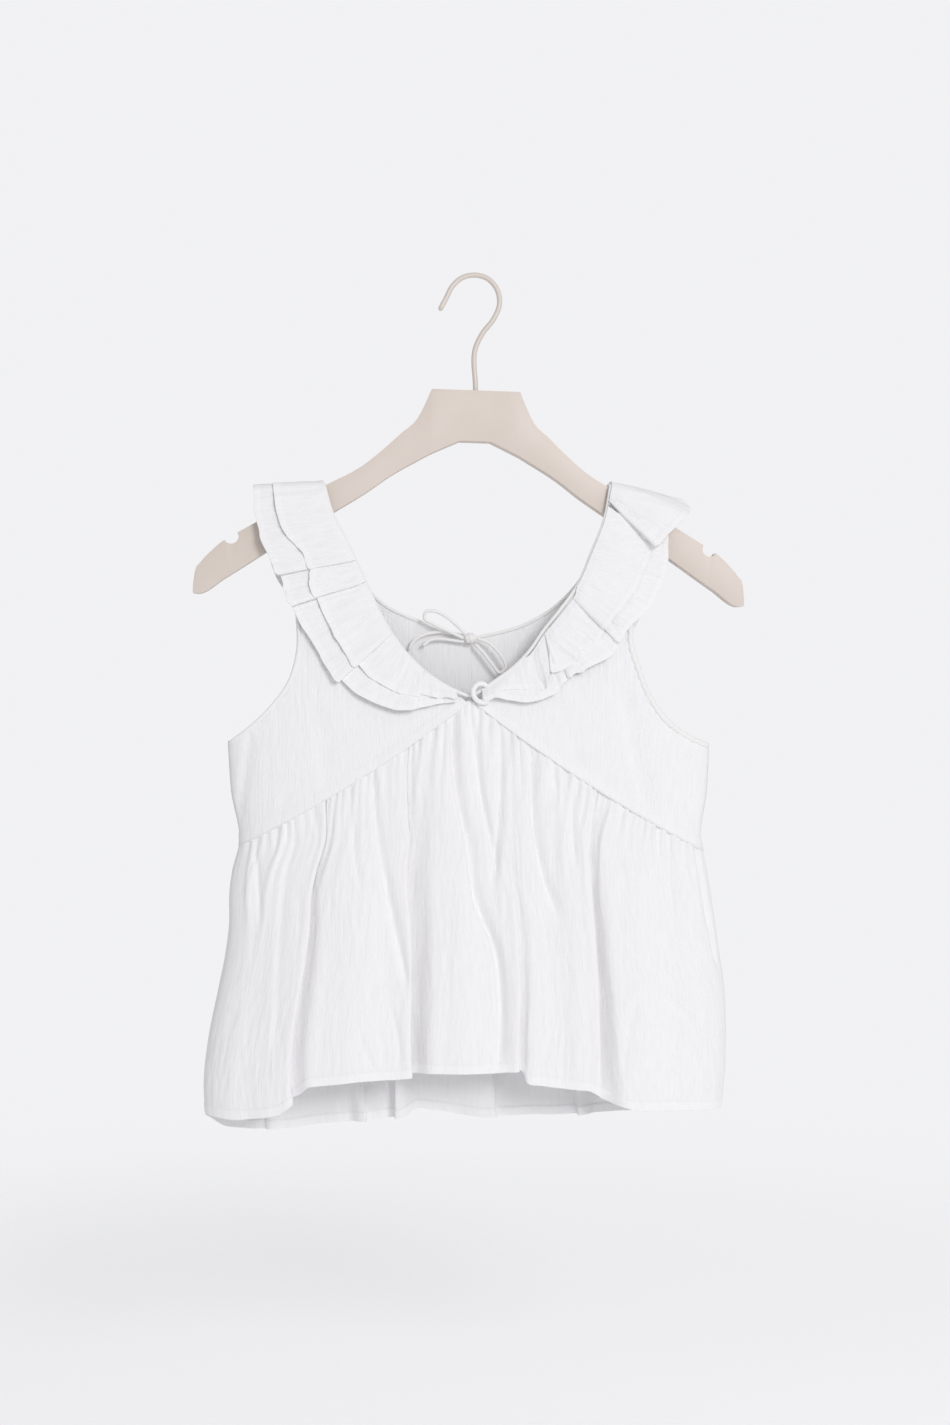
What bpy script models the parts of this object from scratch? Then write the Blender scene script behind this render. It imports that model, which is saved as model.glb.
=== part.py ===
"""A gathered top with a pleated two-tier neck flounce, on a flat wooden hanger with a wire hook.

The tables hold millimetres, which MM turns into metres when a mesh is made. X runs to the right as
seen from the front, the front of the garment faces -Y and Z is up. The origin is the inner top of
the hook, where the hanger is held. "Left" and "right" are the sides as seen from the front.
"""

import math

import bpy
import numpy as np
from mathutils import Vector

MM = 0.001

# Walls and gaps
WALL = 1.2  # cloth wall of the body panels
FLOUNCE_WALL = 1.0  # cloth wall of the flounce
SEAM_GAP = 0.3  # between two pieces that meet
FACE_GAP = 0.25  # from the middle plane to a front or back wall that meets the other there
BINDING_D = 2.6  # rolled neck and armhole bindings
TIE_D = 2.6  # tie cord

# Hanger: a level outline about its own middle, then turned a little, as it hangs
HANGER_X = 7.5  # middle of the hanger, from the inner top of the hook
HANGER_TILT = math.radians(1.07)  # the right end hangs lower
HANGER_THICK = 12.0
HANGER_EDGE = 1.5  # rounding of its edges
BLOCK_TOP = -88.5
BLOCK_HALF = 34.5
ARM_STRAIGHT = ((116.0, -166.0), (166.0, -194.5))  # straight stretch that carries the straps
ARM_TOP = ((38.0, -97.0), (45.5, -112.0), (57.0, -123.0), (69.0, -134.4), (87.5, -150.0))
NOTCH_MIDDLE = (187.0, -207.0)
NOTCH_R = 5.8
ARM_TIP = (
    (195.5, -214.0), (202.5, -219.3), (210.0, -228.0), (214.3, -237.0), (215.3, -246.0), (214.5, -252.5),
)
ARM_UNDER = ((190.0, -238.5), (160.0, -218.5), (106.0, -184.5), (80.0, -167.5), (68.0, -158.5))
ARCH = ((46.0, -145.0), (24.0, -133.5), (0.0, -128.0))
OUTLINE_STEP = 11.0  # between points of the long curves
TIP_STEP = 7.5
NOTCH_ARC = (math.radians(150.0), math.radians(332.0))
NOTCH_POINTS = 9
HOOK_D = 4.0
HOOK_SOCKET = 14.0  # how deep the wire sits in the block
HOOK_STEP = 6.0  # between the wire's points
HOOK_LIFT = 0.3  # brings the wire's inner side to the origin, a little left of its top
HOOK_WIRE = (
    (0.0, 0.0), (0.0, 34.0), (4.7, 43.7), (13.3, 55.4), (17.6, 67.0), (14.8, 79.6), (7.0, 87.0),
    (-2.3, 88.9), (-11.7, 86.6), (-19.5, 79.6), (-24.2, 70.2), (-29.3, 60.0),
)  # wire centre, from the top of the block

# How far the front and the back hang from the hanger's middle plane: height, front, back
DEPTHS = (
    (-650.0, 36.0, 19.0), (-540.0, 30.0, 17.0), (-440.0, 23.0, 15.0),
    (-330.0, 15.0, 12.5), (-250.0, 11.8, 11.4), (-160.0, 10.4, 10.4),
)
SIDE_ROUNDING = 6  # power of the rounded side: higher is flatter and sharper
RIDGE_CLEAR = 3.0  # middle of the strap's wall above the hanger's arm
WRAP = 7.5  # height over which a strap turns over the arm
STRAPS_ABOVE = -220.0  # only above this height
EDGE_STEP = 0.5  # between the points an edge line is read at

# Side outline of the body: height, left, right
SIDES = (
    (-655.0, -202.0, 199.5), (-625.0, -204.0, 203.5), (-590.0, -200.5, 204.5), (-550.0, -192.5, 202.5),
    (-525.0, -187.5, 198.5), (-500.0, -184.5, 195.0), (-480.0, -184.5, 192.0), (-460.0, -182.0, 188.5),
    (-440.0, -177.0, 184.5), (-400.0, -183.0, 189.0), (-364.0, -185.5, 191.0), (-150.0, -186.5, 192.0),
)
UNDERARM_DROP = 5.0  # from the end of the armhole binding's middle to the yoke's corner
UNDERARM = {"left": (-185.0, -363.0), "right": (191.0, -366.0)}

# Seam under the bust: two slanting runs that sag a little from the point of the V
V_POINT = (1.0, -328.0)
V_ENDS = {"left": (-177.0, -439.0), "right": (184.5, -446.0)}
V_SAG = 6.5
BACK_SEAM = ((-177.0, -439.0), (184.5, -446.0))

# Edge lines of the yokes, from the shoulder down: x, height
NECK_FRONT = {
    "left": ((-106.0, -186.0), (-95.0, -208.0), (-80.0, -240.0), (-66.0, -269.0), (-52.0, -290.0),
             (-33.0, -309.0), (-14.0, -321.0), (-1.0, -326.5)),
    "right": ((105.5, -190.0), (96.0, -214.0), (84.0, -241.0), (71.0, -259.0), (58.0, -275.0),
              (46.0, -292.0), (34.0, -304.0), (19.0, -315.0), (4.0, -325.0)),
}
NECK_BACK = {
    "left": ((-106.0, -186.0), (-92.0, -221.0), (-66.0, -254.0), (-34.0, -269.0), (1.5, -281.0)),
    "right": ((105.5, -190.0), (93.0, -222.0), (66.0, -257.0), (46.0, -270.0), (5.5, -281.0)),
}
ARMHOLE = {
    "left": ((-138.5, -222.0), (-132.5, -262.0), (-132.0, -292.0), (-139.0, -316.0), (-151.0, -333.0),
             (-167.0, -349.0)),
    "right": ((132.5, -220.0), (127.0, -259.0), (126.5, -286.0), (131.5, -303.0), (139.5, -324.0),
              (154.0, -345.0), (172.0, -358.0)),
}
STRAP_TOP = {"left": (-113.0, -144.0), "right": (111.5, 138.0)}  # x of the neck and armhole edges
MIDDLE_BACK = 3.5
SLIT_TOP = 0.6  # half opening of the slit at the neck
SLIT_LONG = 60.0
TURN_ROWS = (0.0, 0.7, 1.9, 3.8, 7.0, 12.0)  # rows of a yoke over the shoulder: how far below its top
YOKE_ROWS = 11  # rows below them
END_ROWS = 1.3  # power that sets these rows closer towards the end of an edge
MIDDLE_ROWS = 4  # of these, beside the back's middle
SIDE_ROWS = 3  # and beside the side seam
YOKE_SHARES = (0.0, 0.17, 0.34, 0.5, 0.64, 0.76, 0.86, 0.94, 0.985, 1.0)  # from the neck outward
SEAM_SLOPE = 0.84  # cosine of the slanting seam's angle

# Hems: x, height
HEM_FRONT = (
    (-204.0, -646.0), (-181.0, -648.0), (-156.0, -645.0), (-141.0, -641.0), (-128.0, -623.0),
    (-89.0, -619.0), (-50.0, -618.0), (-40.0, -614.0), (16.0, -615.0), (36.0, -613.5), (42.0, -623.0),
    (65.0, -627.0), (94.0, -630.0), (103.0, -638.5), (126.0, -645.0), (157.0, -646.5), (202.0, -649.0),
)
HEM_BACK = (
    (-204.0, -648.0), (-192.0, -659.0), (-168.0, -663.0), (-141.0, -664.0), (-117.0, -661.0),
    (-86.0, -659.0), (-53.0, -657.0), (-38.0, -650.0), (-8.0, -655.0), (24.0, -658.0), (96.0, -657.0),
    (150.0, -655.0), (186.0, -654.0), (202.0, -651.0),
)

# Deep folds: top x, hem x, half mouth, half pocket, depth at the hem, where they begin (0 seam, 1 hem)
FOLDS_FRONT = (
    (-106.0, -134.0, 5.5, 8.0, 17.0, 0.0), (-37.0, -35.0, 7.0, 9.0, 19.0, 0.0),
    (38.0, 39.0, 3.5, 4.5, 8.0, 0.45), (101.0, 99.0, 7.0, 9.5, 17.0, 0.0),
)
FOLDS_BACK = (
    (-140.0, -150.0, 6.0, 7.5, 8.0, 0.1), (-78.0, -84.0, 4.5, 6.0, 8.5, 0.0),
    (-40.0, -46.0, 8.0, 8.0, 9.0, 0.0), (10.0, 8.0, 14.0, 13.0, 8.5, 0.1),
    (84.0, 96.0, 5.5, 7.5, 9.0, 0.0), (140.0, 152.0, 6.0, 7.0, 7.5, 0.2),
)
FOLD_FLOOR = 0.4  # where a fold's floor begins, as a share of its half mouth
FOLD_GROWTH = 0.8  # power with which a fold deepens downward
# Soft folds: top x, hem x, half width, depth (+ is a hollow, - a ridge)
SOFT_FRONT = (
    (-158.0, -170.0, 12.0, 3.5), (-132.0, -152.0, 12.0, -4.0), (-84.0, -96.0, 16.0, -4.5),
    (-66.0, -62.0, 9.0, 3.5), (-14.0, -8.0, 13.0, -4.0), (2.0, 20.0, 11.0, 4.0),
    (60.0, 70.0, 12.0, 4.5), (78.0, 84.0, 11.0, -3.5), (126.0, 132.0, 14.0, -4.5),
    (150.0, 160.0, 11.0, 4.0), (168.0, 182.0, 9.0, -2.5),
)
SOFT_BACK = (
    (-166.0, -180.0, 9.0, 2.5), (-110.0, -118.0, 14.0, -3.5), (-60.0, -66.0, 8.0, -2.5),
    (-18.0, -20.0, 10.0, -3.0), (44.0, 50.0, 16.0, -3.5), (64.0, 72.0, 9.0, 3.0),
    (112.0, 124.0, 12.0, -3.5), (166.0, 178.0, 9.0, -2.0),
)
SOFT_GROWTH = 2.2  # a soft fold is full at this part of the way down, as one over it
GATHER_DEEP = 1.7  # a gather's ridge or hollow at the seam
GATHER_FADE = 0.12  # share of the height over which gathers die away
SIDE_FADE = 12  # power that flattens folds and gathers towards a side seam
SKIRT_PITCH = {"front": 10.0, "back": 11.5}  # width of one gather
FINE_ROWS = (0.0, 0.04, 0.09, 0.15)  # rows that carry the gathers
PLAIN_ROWS = (0.24, 0.35, 0.47, 0.59, 0.71, 0.83, 0.93, 1.0)
SIDE_COLUMNS = (0.3, 2.5, 7.0, 14.0)  # extra columns beside a side seam
HALF_WIDTH = 200.0  # of the skirt, to turn widths into shares
SEAM_LEVEL = -400.0  # height at which a column's x at the seam is first guessed
HEM_LEVEL = -640.0

# Flounce, by distance along the neck edge from the top of the shoulder (- runs down the back):
# distance, angle of the hem below level, under-tier width, top-tier width
FLOUNCE = {
    "left": (
        (-162.0, 88.0, 44.0, 31.0), (-130.0, 72.0, 49.0, 34.0), (-95.0, 46.0, 54.0, 38.0),
        (-60.0, 20.0, 56.0, 40.0), (-24.0, 8.0, 55.0, 39.0), (0.0, 6.0, 53.0, 38.0),
        (24.0, 6.0, 57.0, 41.0), (65.0, 9.0, 63.0, 43.0), (85.0, 16.0, 61.0, 42.0),
        (115.0, 35.0, 57.0, 39.0), (140.0, 45.0, 52.0, 35.0), (157.0, 62.0, 44.0, 30.0),
        (170.0, 72.0, 32.0, 21.0), (188.0, 80.0, 17.0, 12.0), (206.0, 88.0, 7.0, 5.0),
    ),
    "right": (
        (-162.0, 88.0, 44.0, 31.0), (-130.0, 72.0, 49.0, 34.0), (-95.0, 46.0, 54.0, 38.0),
        (-60.0, 20.0, 56.0, 40.0), (-24.0, 9.0, 54.0, 46.0), (0.0, 9.0, 50.0, 62.0),
        (24.0, 10.0, 48.0, 53.0), (45.0, 9.0, 54.0, 45.0), (65.0, 8.0, 60.0, 43.0),
        (90.0, 16.0, 59.0, 42.0), (113.0, 30.0, 58.0, 41.0), (135.0, 42.0, 53.0, 37.0),
        (152.0, 50.0, 38.0, 27.0), (170.0, 62.0, 31.0, 21.0), (188.0, 75.0, 21.0, 14.0),
        (206.0, 88.0, 9.0, 6.0),
    ),
}
PLEATS = {
    "left": (-122.0, -84.0, -42.0, 68.0, 86.0, 131.0, 169.0),
    "right": (-122.0, -84.0, -42.0, 38.0, 80.0, 98.0, 134.0, 152.0),
}
PLEAT_LAP = 7.0  # how far one pleat lies over the next
PLEAT_TURN = 0.8  # how far the folded edge stands out
# A strip between pleats, as distance and layer: the turn over the shoulder, then rows this far apart
SHOULDER_RUN = ((3.0, 1.05), (6.0, 1.1), (10.0, 1.2), (16.0, 1.3))
STRIP_STEP = 16.0
END_STEP = 12.0
LAYERS = {"low": 0.1, "middle": 1.0, "high": 1.9}
FLOUNCE_ROWS = (0.0, 0.5, 1.0)  # from the sewing line to the hem
EDGE_STRIDE = 2.5  # half the stretch that gives the neck edge's direction
SAG_FROM = 40.0  # distance from the shoulder at which the flounce follows the body's depth
FLOUNCE_START = 2.3  # sewing line from the middle of the binding
# Height over the yoke at the neck edge and at the under tier's hem: lowest layer, one layer more
LIFT = {"under": ((1.5, 1.35), (4.2, 1.6)), "top": ((5.6, 1.35), (9.4, 1.5))}
SHOULDER_PRESS = 0.4  # share of that height lost where the strap turns over the hanger's arm
PRESSED_RUN = 18.0  # how far along the neck edge this reaches
FLOUNCE_ENDS = {"left": (-158.0, 203.0), "right": (-158.0, 204.0)}

# Bow at the back of the neck: x, y, height
KNOT = (2.5, 5.6, -281.0)
KNOT_R = (5.0, 4.2, 4.6)
TIES = {
    "tie_loop_left": (
        (-1.4, 3.9, -278.0), (-9.0, 2.6, -270.5), (-18.0, 1.8, -263.5), (-26.0, 1.5, -260.0),
        (-32.5, 1.8, -260.5), (-34.0, 2.6, -265.0), (-27.0, 3.0, -270.0), (-15.0, 3.2, -275.5),
        (-2.8, 4.3, -281.2)),
    "tie_loop_right": (
        (7.6, 4.1, -281.2), (15.5, 2.6, -284.0), (22.0, 1.8, -289.5), (27.5, 1.5, -297.0),
        (30.0, 1.8, -304.0), (26.0, 2.6, -308.0), (19.0, 3.0, -301.0), (12.5, 3.2, -292.5),
        (5.8, 4.3, -285.2)),
    "tie_tail_upper": (
        (-2.2, 7.2, -279.2), (-12.0, 8.2, -276.8), (-24.0, 8.0, -276.2), (-34.0, 7.2, -278.4),
        (-41.5, 6.4, -283.0), (-46.0, 5.8, -290.5)),
    "tie_tail_lower": (
        (-2.0, 6.6, -283.8), (-10.0, 6.8, -282.8), (-20.0, 6.4, -281.6), (-29.0, 5.6, -282.6),
        (-35.5, 5.0, -287.4)),
}
TIE_STEP = 4.4  # between a tie's points

COLOURS = {
    "cotton": ((0.86, 0.86, 0.87), 0.95, 0.0),
    "binding": ((0.88, 0.88, 0.88), 0.95, 0.0),
    "lacquered_wood": ((0.75, 0.66, 0.58), 0.45, 0.0),
    "lacquered_wire": ((0.70, 0.64, 0.59), 0.35, 0.6),
}


def clear_scene():
    for ob in list(bpy.data.objects):
        bpy.data.objects.remove(ob, do_unlink=True)


def material(name):
    made = bpy.data.materials.get(name)
    if made:
        return made
    colour, rough, metal = COLOURS[name]
    made = bpy.data.materials.new(name)
    made.use_nodes = True
    shader = made.node_tree.nodes["Principled BSDF"]
    shader.inputs["Base Color"].default_value = (*colour, 1.0)
    shader.inputs["Roughness"].default_value = rough
    shader.inputs["Metallic"].default_value = metal
    return made


def smooth(knots, values, at):
    """Reads rounded values between the knots, which rise. Values may be numbers or points."""
    knots = np.asarray(knots, float)
    values = np.asarray(values, float)
    at = np.clip(np.asarray(at, float), knots[0], knots[-1])
    slopes = np.gradient(values, knots, axis=0)
    low = np.clip(np.searchsorted(knots, at, side="right") - 1, 0, len(knots) - 2)
    step = knots[low + 1] - knots[low]
    t = (at - knots[low]) / step
    if values.ndim > 1:
        t, step = t[..., None], step[..., None]
    start, end = values[low], values[low + 1]
    return (
        (2 * t**3 - 3 * t**2 + 1) * start
        + (t**3 - 2 * t**2 + t) * step * slopes[low]
        + (3 * t**2 - 2 * t**3) * end
        + (t**3 - t**2) * step * slopes[low + 1]
    )


def lengths(points):
    """How far each point lies along the line through all of them."""
    steps = np.linalg.norm(np.diff(points, axis=0), axis=1)
    return np.concatenate(([0.0], np.cumsum(steps)))


def rounded(points, step):
    """An even row of points, about a step apart, on a smooth curve through the given ones."""
    points = np.asarray(points, float)
    along = lengths(points)
    dense = smooth(along, points, np.linspace(0.0, along[-1], 40 * len(points)))
    run = lengths(dense)
    count = max(2, round(run[-1] / step) + 1)
    even = np.linspace(0.0, run[-1], count)
    return np.stack([np.interp(even, run, dense[:, i]) for i in range(dense.shape[1])], axis=1)


def column(table, index):
    return np.array([row[index] for row in table])


def read(table, index, at):
    """A column of a table, read smoothly at a place in its first column."""
    return smooth(column(table, 0), column(table, index), at)


def tilted(x, z):
    """Where a point of the level hanger lies once the hanger has turned about the hook."""
    c, s = math.cos(HANGER_TILT), math.sin(HANGER_TILT)
    return x * c + z * s, -x * s + z * c


def ridge(x):
    """Height of the middle of a strap's wall where it turns over the hanger's arm."""
    side = np.where(np.asarray(x) < 0, -1.0, 1.0)
    (u0, z0), (u1, z1) = ARM_STRAIGHT
    x0, h0 = tilted(HANGER_X + side * u0, z0)
    x1, h1 = tilted(HANGER_X + side * u1, z1)
    return h0 + (x - x0) * (h1 - h0) / (x1 - x0) + RIDGE_CLEAR


def side_share(x, z):
    """Where x lies between the body's sides: -1 at the left one, 1 at the right one."""
    left, right = read(SIDES, 1, z), read(SIDES, 2, z)
    return (2 * x - left - right) / (right - left)


def across(s, z):
    """The x of a share of the body's width."""
    left, right = read(SIDES, 1, z), read(SIDES, 2, z)
    return (left + right) / 2 + s * (right - left) / 2


def depth(z, face):
    return read(DEPTHS, 1 if face == "front" else 2, z)


def sheet_y(x, z, face):
    """The body's own depth, flat but for its rounded sides and the straps' turn over the arm."""
    s = np.clip(np.abs(side_share(x, z)), 0.0, 1.0)
    out = depth(z, face) * np.sqrt(1.0 - s**SIDE_ROUNDING)
    over = np.clip(1.0 - (ridge(x) - z) / WRAP, 0.0, 1.0)
    out = out * np.where(z > STRAPS_ABOVE, np.sqrt(1.0 - over**2), 1.0)
    return -np.maximum(out, FACE_GAP) if face == "front" else np.maximum(out, FACE_GAP)


def v_seam(x):
    """Height of the seam under the bust."""
    end = np.where(np.asarray(x) < V_POINT[0], V_ENDS["left"][0], V_ENDS["right"][0])
    low = np.where(np.asarray(x) < V_POINT[0], V_ENDS["left"][1], V_ENDS["right"][1])
    t = np.clip((x - V_POINT[0]) / (end - V_POINT[0]), 0.0, 1.0)
    return V_POINT[1] + (low - V_POINT[1]) * t - V_SAG * 4 * t * (1 - t)


def back_seam(x):
    (x0, z0), (x1, z1) = BACK_SEAM
    return z0 + (x - x0) * (z1 - z0) / (x1 - x0)


def add_mesh(name, points, faces, look, wall=0.0):
    """An object from points in millimetres. A wall thickens it evenly to both sides."""
    mesh = bpy.data.meshes.new(name)
    mesh.from_pydata([tuple(float(c) * MM for c in p) for p in points], [], faces)
    mesh.validate()
    mesh.shade_smooth()
    mesh.materials.append(material(look))
    ob = bpy.data.objects.new(name, mesh)
    bpy.context.scene.collection.objects.link(ob)
    if wall:
        thick = ob.modifiers.new("wall", "SOLIDIFY")
        thick.thickness = wall * MM
        thick.offset = 0.0
        thick.use_rim = True
        thick.use_quality_normals = True
    return ob


def cloth(name, rows, wall=WALL, look="cotton"):
    """A wall through rows of points. A row may have half as many gaps as the one before it."""
    points, starts = [], []
    for row in rows:
        starts.append(len(points))
        points.extend(row)
    faces = []
    for i in range(len(rows) - 1):
        above, below = starts[i], starts[i + 1]
        if len(rows[i]) == len(rows[i + 1]):
            for j in range(len(rows[i]) - 1):
                faces.append((above + j, below + j, below + j + 1, above + j + 1))
            continue
        for j in range(len(rows[i + 1]) - 1):
            a, b = above + 2 * j, below + j
            faces.extend([(a, b, a + 1), (a + 1, b, b + 1), (a + 1, b + 1, a + 2)])
    return add_mesh(name, points, faces, look, wall)


def tube(name, points, diameter, look, roundness=2):
    """A round cord or roll through the points, with closed ends."""
    curve = bpy.data.curves.new(name, "CURVE")
    curve.dimensions = "3D"
    curve.bevel_depth = diameter / 2 * MM
    curve.bevel_resolution = roundness
    curve.use_fill_caps = True
    run = curve.splines.new("POLY")
    run.points.add(len(points) - 1)
    for spot, place in zip(run.points, points):
        spot.co = (*(float(c) * MM for c in place), 1.0)
    run.use_smooth = True
    curve.materials.append(material(look))
    ob = bpy.data.objects.new(name, curve)
    bpy.context.scene.collection.objects.link(ob)
    return ob


def hanger_outline():
    """Half of the level outline, from the middle of the block's top to the top of the arch."""
    top = rounded([(BLOCK_HALF, BLOCK_TOP), *ARM_TOP, ARM_STRAIGHT[0]], OUTLINE_STEP)
    notch_x, notch_z = NOTCH_MIDDLE
    angles = np.linspace(*NOTCH_ARC, NOTCH_POINTS)
    notch = [(notch_x + NOTCH_R * math.cos(a), notch_z + NOTCH_R * math.sin(a)) for a in angles]
    tip = rounded(ARM_TIP, TIP_STEP)
    under = rounded([ARM_UNDER[-2], ARM_UNDER[-1], *ARCH], OUTLINE_STEP)
    half = [(0.0, BLOCK_TOP), *top, ARM_STRAIGHT[1], *notch, *tip, *ARM_UNDER[:-2], *under]
    return [(float(x), float(z)) for x, z in half]


def build_hanger():
    """The flat body with a socket for the wire, and the hook."""
    half = hanger_outline()
    ring = half + [(-x, z) for x, z in reversed(half[1:-1])]
    front, back = -HANGER_THICK / 2, HANGER_THICK / 2
    count = len(ring)
    points = [(HANGER_X + x, front, z) for x, z in ring] + [(HANGER_X + x, back, z) for x, z in ring]
    faces = [tuple(reversed(range(count))), tuple(range(count, 2 * count))]
    faces += [(i, (i + 1) % count, count + (i + 1) % count, count + i) for i in range(count)]
    body = add_mesh("hanger_body", points, faces, "lacquered_wood")
    edge = body.modifiers.new("edge", "BEVEL")
    edge.width = HANGER_EDGE * MM
    edge.segments = 2
    edge.limit_method = "ANGLE"
    edge.angle_limit = math.radians(60.0)
    mouth = (HANGER_X, 0.0, BLOCK_TOP)
    socket = cylinder("hook_socket_cutter", HOOK_D / 2 + SEAM_GAP, 2 * HOOK_SOCKET, mouth)
    cut = body.modifiers.new("socket", "BOOLEAN")
    cut.operation = "DIFFERENCE"
    cut.solver = "EXACT"
    cut.object = socket
    body.data.set_sharp_from_angle(angle=math.radians(40.0))
    foot = (HANGER_X, 0.0, BLOCK_TOP - HOOK_SOCKET + SEAM_GAP)
    wire = rounded(HOOK_WIRE, HOOK_STEP)
    base = HOOK_D / 2 + HOOK_LIFT - max(z for _, z in HOOK_WIRE)
    route = [foot] + [(HANGER_X + x, 0.0, base + z) for x, z in wire]
    hook = tube("hanger_hook", route, HOOK_D, "lacquered_wire")
    for ob in (body, hook, socket):
        ob.rotation_euler = (0.0, HANGER_TILT, 0.0)


def cylinder(name, radius, height, middle):
    """A cutter that the build leaves out."""
    sides = 16
    angles = [math.tau * i / sides for i in range(sides)]
    ring = [(radius * math.cos(a), radius * math.sin(a)) for a in angles]
    x0, y0, z0 = middle
    points = [(x0 + x, y0 + y, z0 + end) for end in (-height / 2, height / 2) for x, y in ring]
    faces = [tuple(reversed(range(sides))), tuple(range(sides, 2 * sides))]
    faces += [(i, (i + 1) % sides, sides + (i + 1) % sides, sides + i) for i in range(sides)]
    ob = add_mesh(name, points, faces, "lacquered_wood")
    ob.hide_render = True
    ob.display_type = "WIRE"
    return ob


def edge_line(side, face, which):
    """The middle of a binding from the top of the shoulder down, as closely set points in 3-D."""
    top_x = STRAP_TOP[side][0 if which == "neck" else 1]
    start = (top_x, float(ridge(top_x)))
    if which == "neck":
        table = NECK_FRONT if face == "front" else NECK_BACK
        flat = rounded([start, *table[side]], EDGE_STEP)
    else:
        flat = rounded([start, *ARMHOLE[side], UNDERARM[side]], EDGE_STEP)
    return np.column_stack((flat[:, 0], sheet_y(flat[:, 0], flat[:, 1], face), flat[:, 1]))


def inset(line, side, which):
    """The yoke's edge beside a binding: the line moved into the cloth, across its own run."""
    run = np.gradient(line[:, [0, 2]], axis=0)
    run /= np.linalg.norm(run, axis=1)[:, None]
    by = BINDING_D / 2 + SEAM_GAP
    by *= 1.0 if (side == "left") == (which == "neck") else -1.0
    return line[:, [0, 2]] + by * np.column_stack((run[:, 1], -run[:, 0]))


def stations(line, below):
    """Indices of a line's points: close ones over the shoulder, then evenly spaced ones."""
    under = ridge(line[:, 0]) - line[:, 2]
    turn = [int(np.argmin(np.abs(under - low))) for low in TURN_ROWS]
    run = lengths(line)
    shares = 1.0 - (1.0 - np.linspace(0.0, 1.0, below + 1)[1:]) ** END_ROWS
    even = run[turn[-1]] + (run[-1] - run[turn[-1]]) * shares
    return turn + [int(np.argmin(np.abs(run - at))) for at in even]


def inner_edge(side, face):
    """The yoke's neck edge row by row, and on the back also its middle edge with the slit."""
    line = edge_line(side, face, "neck")
    if face == "front":
        return inset(line, side, "neck")[stations(line, YOKE_ROWS)]
    edge = inset(line, side, "neck")[stations(line, YOKE_ROWS - MIDDLE_ROWS)]
    sign = -1.0 if side == "left" else 1.0
    top, bottom = edge[-1, 1], float(back_seam(MIDDLE_BACK))
    heights = np.linspace(top, bottom, MIDDLE_ROWS + 1)
    open_by = SEAM_GAP / 2 + SLIT_TOP * np.clip(1.0 - (top - heights) / SLIT_LONG, 0.0, 1.0)
    middle = np.column_stack((MIDDLE_BACK + sign * open_by, heights))
    return np.vstack((edge[:-1], middle))


def outer_edge(side, face):
    """The yoke's armhole edge row by row, and the side below it."""
    line = edge_line(side, face, "armhole")
    edge = inset(line, side, "armhole")[stations(line, YOKE_ROWS - SIDE_ROWS)]
    heights = np.linspace(UNDERARM[side][1] - UNDERARM_DROP, V_ENDS[side][1], SIDE_ROWS + 1)
    sides = read(SIDES, 1 if side == "left" else 2, heights)
    return np.vstack((edge[:-1], np.column_stack((sides, heights))))


def build_yoke(side, face):
    """A yoke as rows from its neck edge to its armhole edge, from the shoulder to its seam."""
    seam = v_seam if face == "front" else back_seam
    slope = (V_ENDS[side][1] - V_POINT[1]) / (V_ENDS[side][0] - V_POINT[0])
    rows = []
    for k, (inner, outer) in enumerate(zip(inner_edge(side, face), outer_edge(side, face))):
        share = max(0.0, (k + 1 - len(TURN_ROWS)) / YOKE_ROWS)
        u = np.array(YOKE_SHARES)
        x = inner[0] * (1 - u) + outer[0] * u
        z = inner[1] * (1 - u) + outer[1] * u
        if face == "front":
            straight = V_POINT[1] + slope * (x - V_POINT[0])
            z = z + (seam(x) - straight) * share**2
        if share == 1.0:
            z = seam(x) + SEAM_GAP / 2 / SEAM_SLOPE
        rows.append(list(zip(x, sheet_y(x, z, face), z)))
    if (side == "left") == (face == "front"):
        rows = [row[::-1] for row in rows]
    return cloth(f"yoke_{face}_{side}", rows)


def skirt_columns(face):
    """The skirt's columns: share of the width at the seam and at the hem, and what each one digs."""
    folds = FOLDS_FRONT if face == "front" else FOLDS_BACK
    seam = v_seam if face == "front" else back_seam
    hem_table = HEM_FRONT if face == "front" else HEM_BACK

    def shares(top_x, hem_x):
        hem_z = np.interp(hem_x, column(hem_table, 0), column(hem_table, 1))
        return float(side_share(top_x, seam(top_x))), float(side_share(hem_x, hem_z))

    def plain(top, hem):
        return (top, hem, 0.0, 0.0, 0.0)

    beside = [d / HALF_WIDTH for d in SIDE_COLUMNS]
    fixed = [plain(-1.0, -1.0)] + [plain(d - 1.0, d - 1.0) for d in beside]
    for top_x, hem_x, mouth, pocket, deep, begins in folds:
        for sign in (-1, 1):
            lip = plain(*shares(top_x + sign * mouth, hem_x + sign * mouth))
            floor = sign * mouth * FOLD_FLOOR
            shift = sign * pocket - floor
            inside = (*shares(top_x + floor, hem_x + floor), deep, begins, shift)
            fixed += [lip, inside] if sign < 0 else [inside, lip]
    fixed += [plain(1.0 - d, 1.0 - d) for d in reversed(beside)] + [plain(1.0, 1.0)]
    columns = [fixed[0]]
    for now, after in zip(fixed, fixed[1:]):
        count = max(1, round((after[1] - now[1]) * HALF_WIDTH / SKIRT_PITCH[face]))
        if now[2] or after[2]:
            count = 1
        for t in np.arange(1, count) / count:
            columns.append(plain(now[0] + (after[0] - now[0]) * t, now[1] + (after[1] - now[1]) * t))
        columns.append(after)
    return columns


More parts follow.
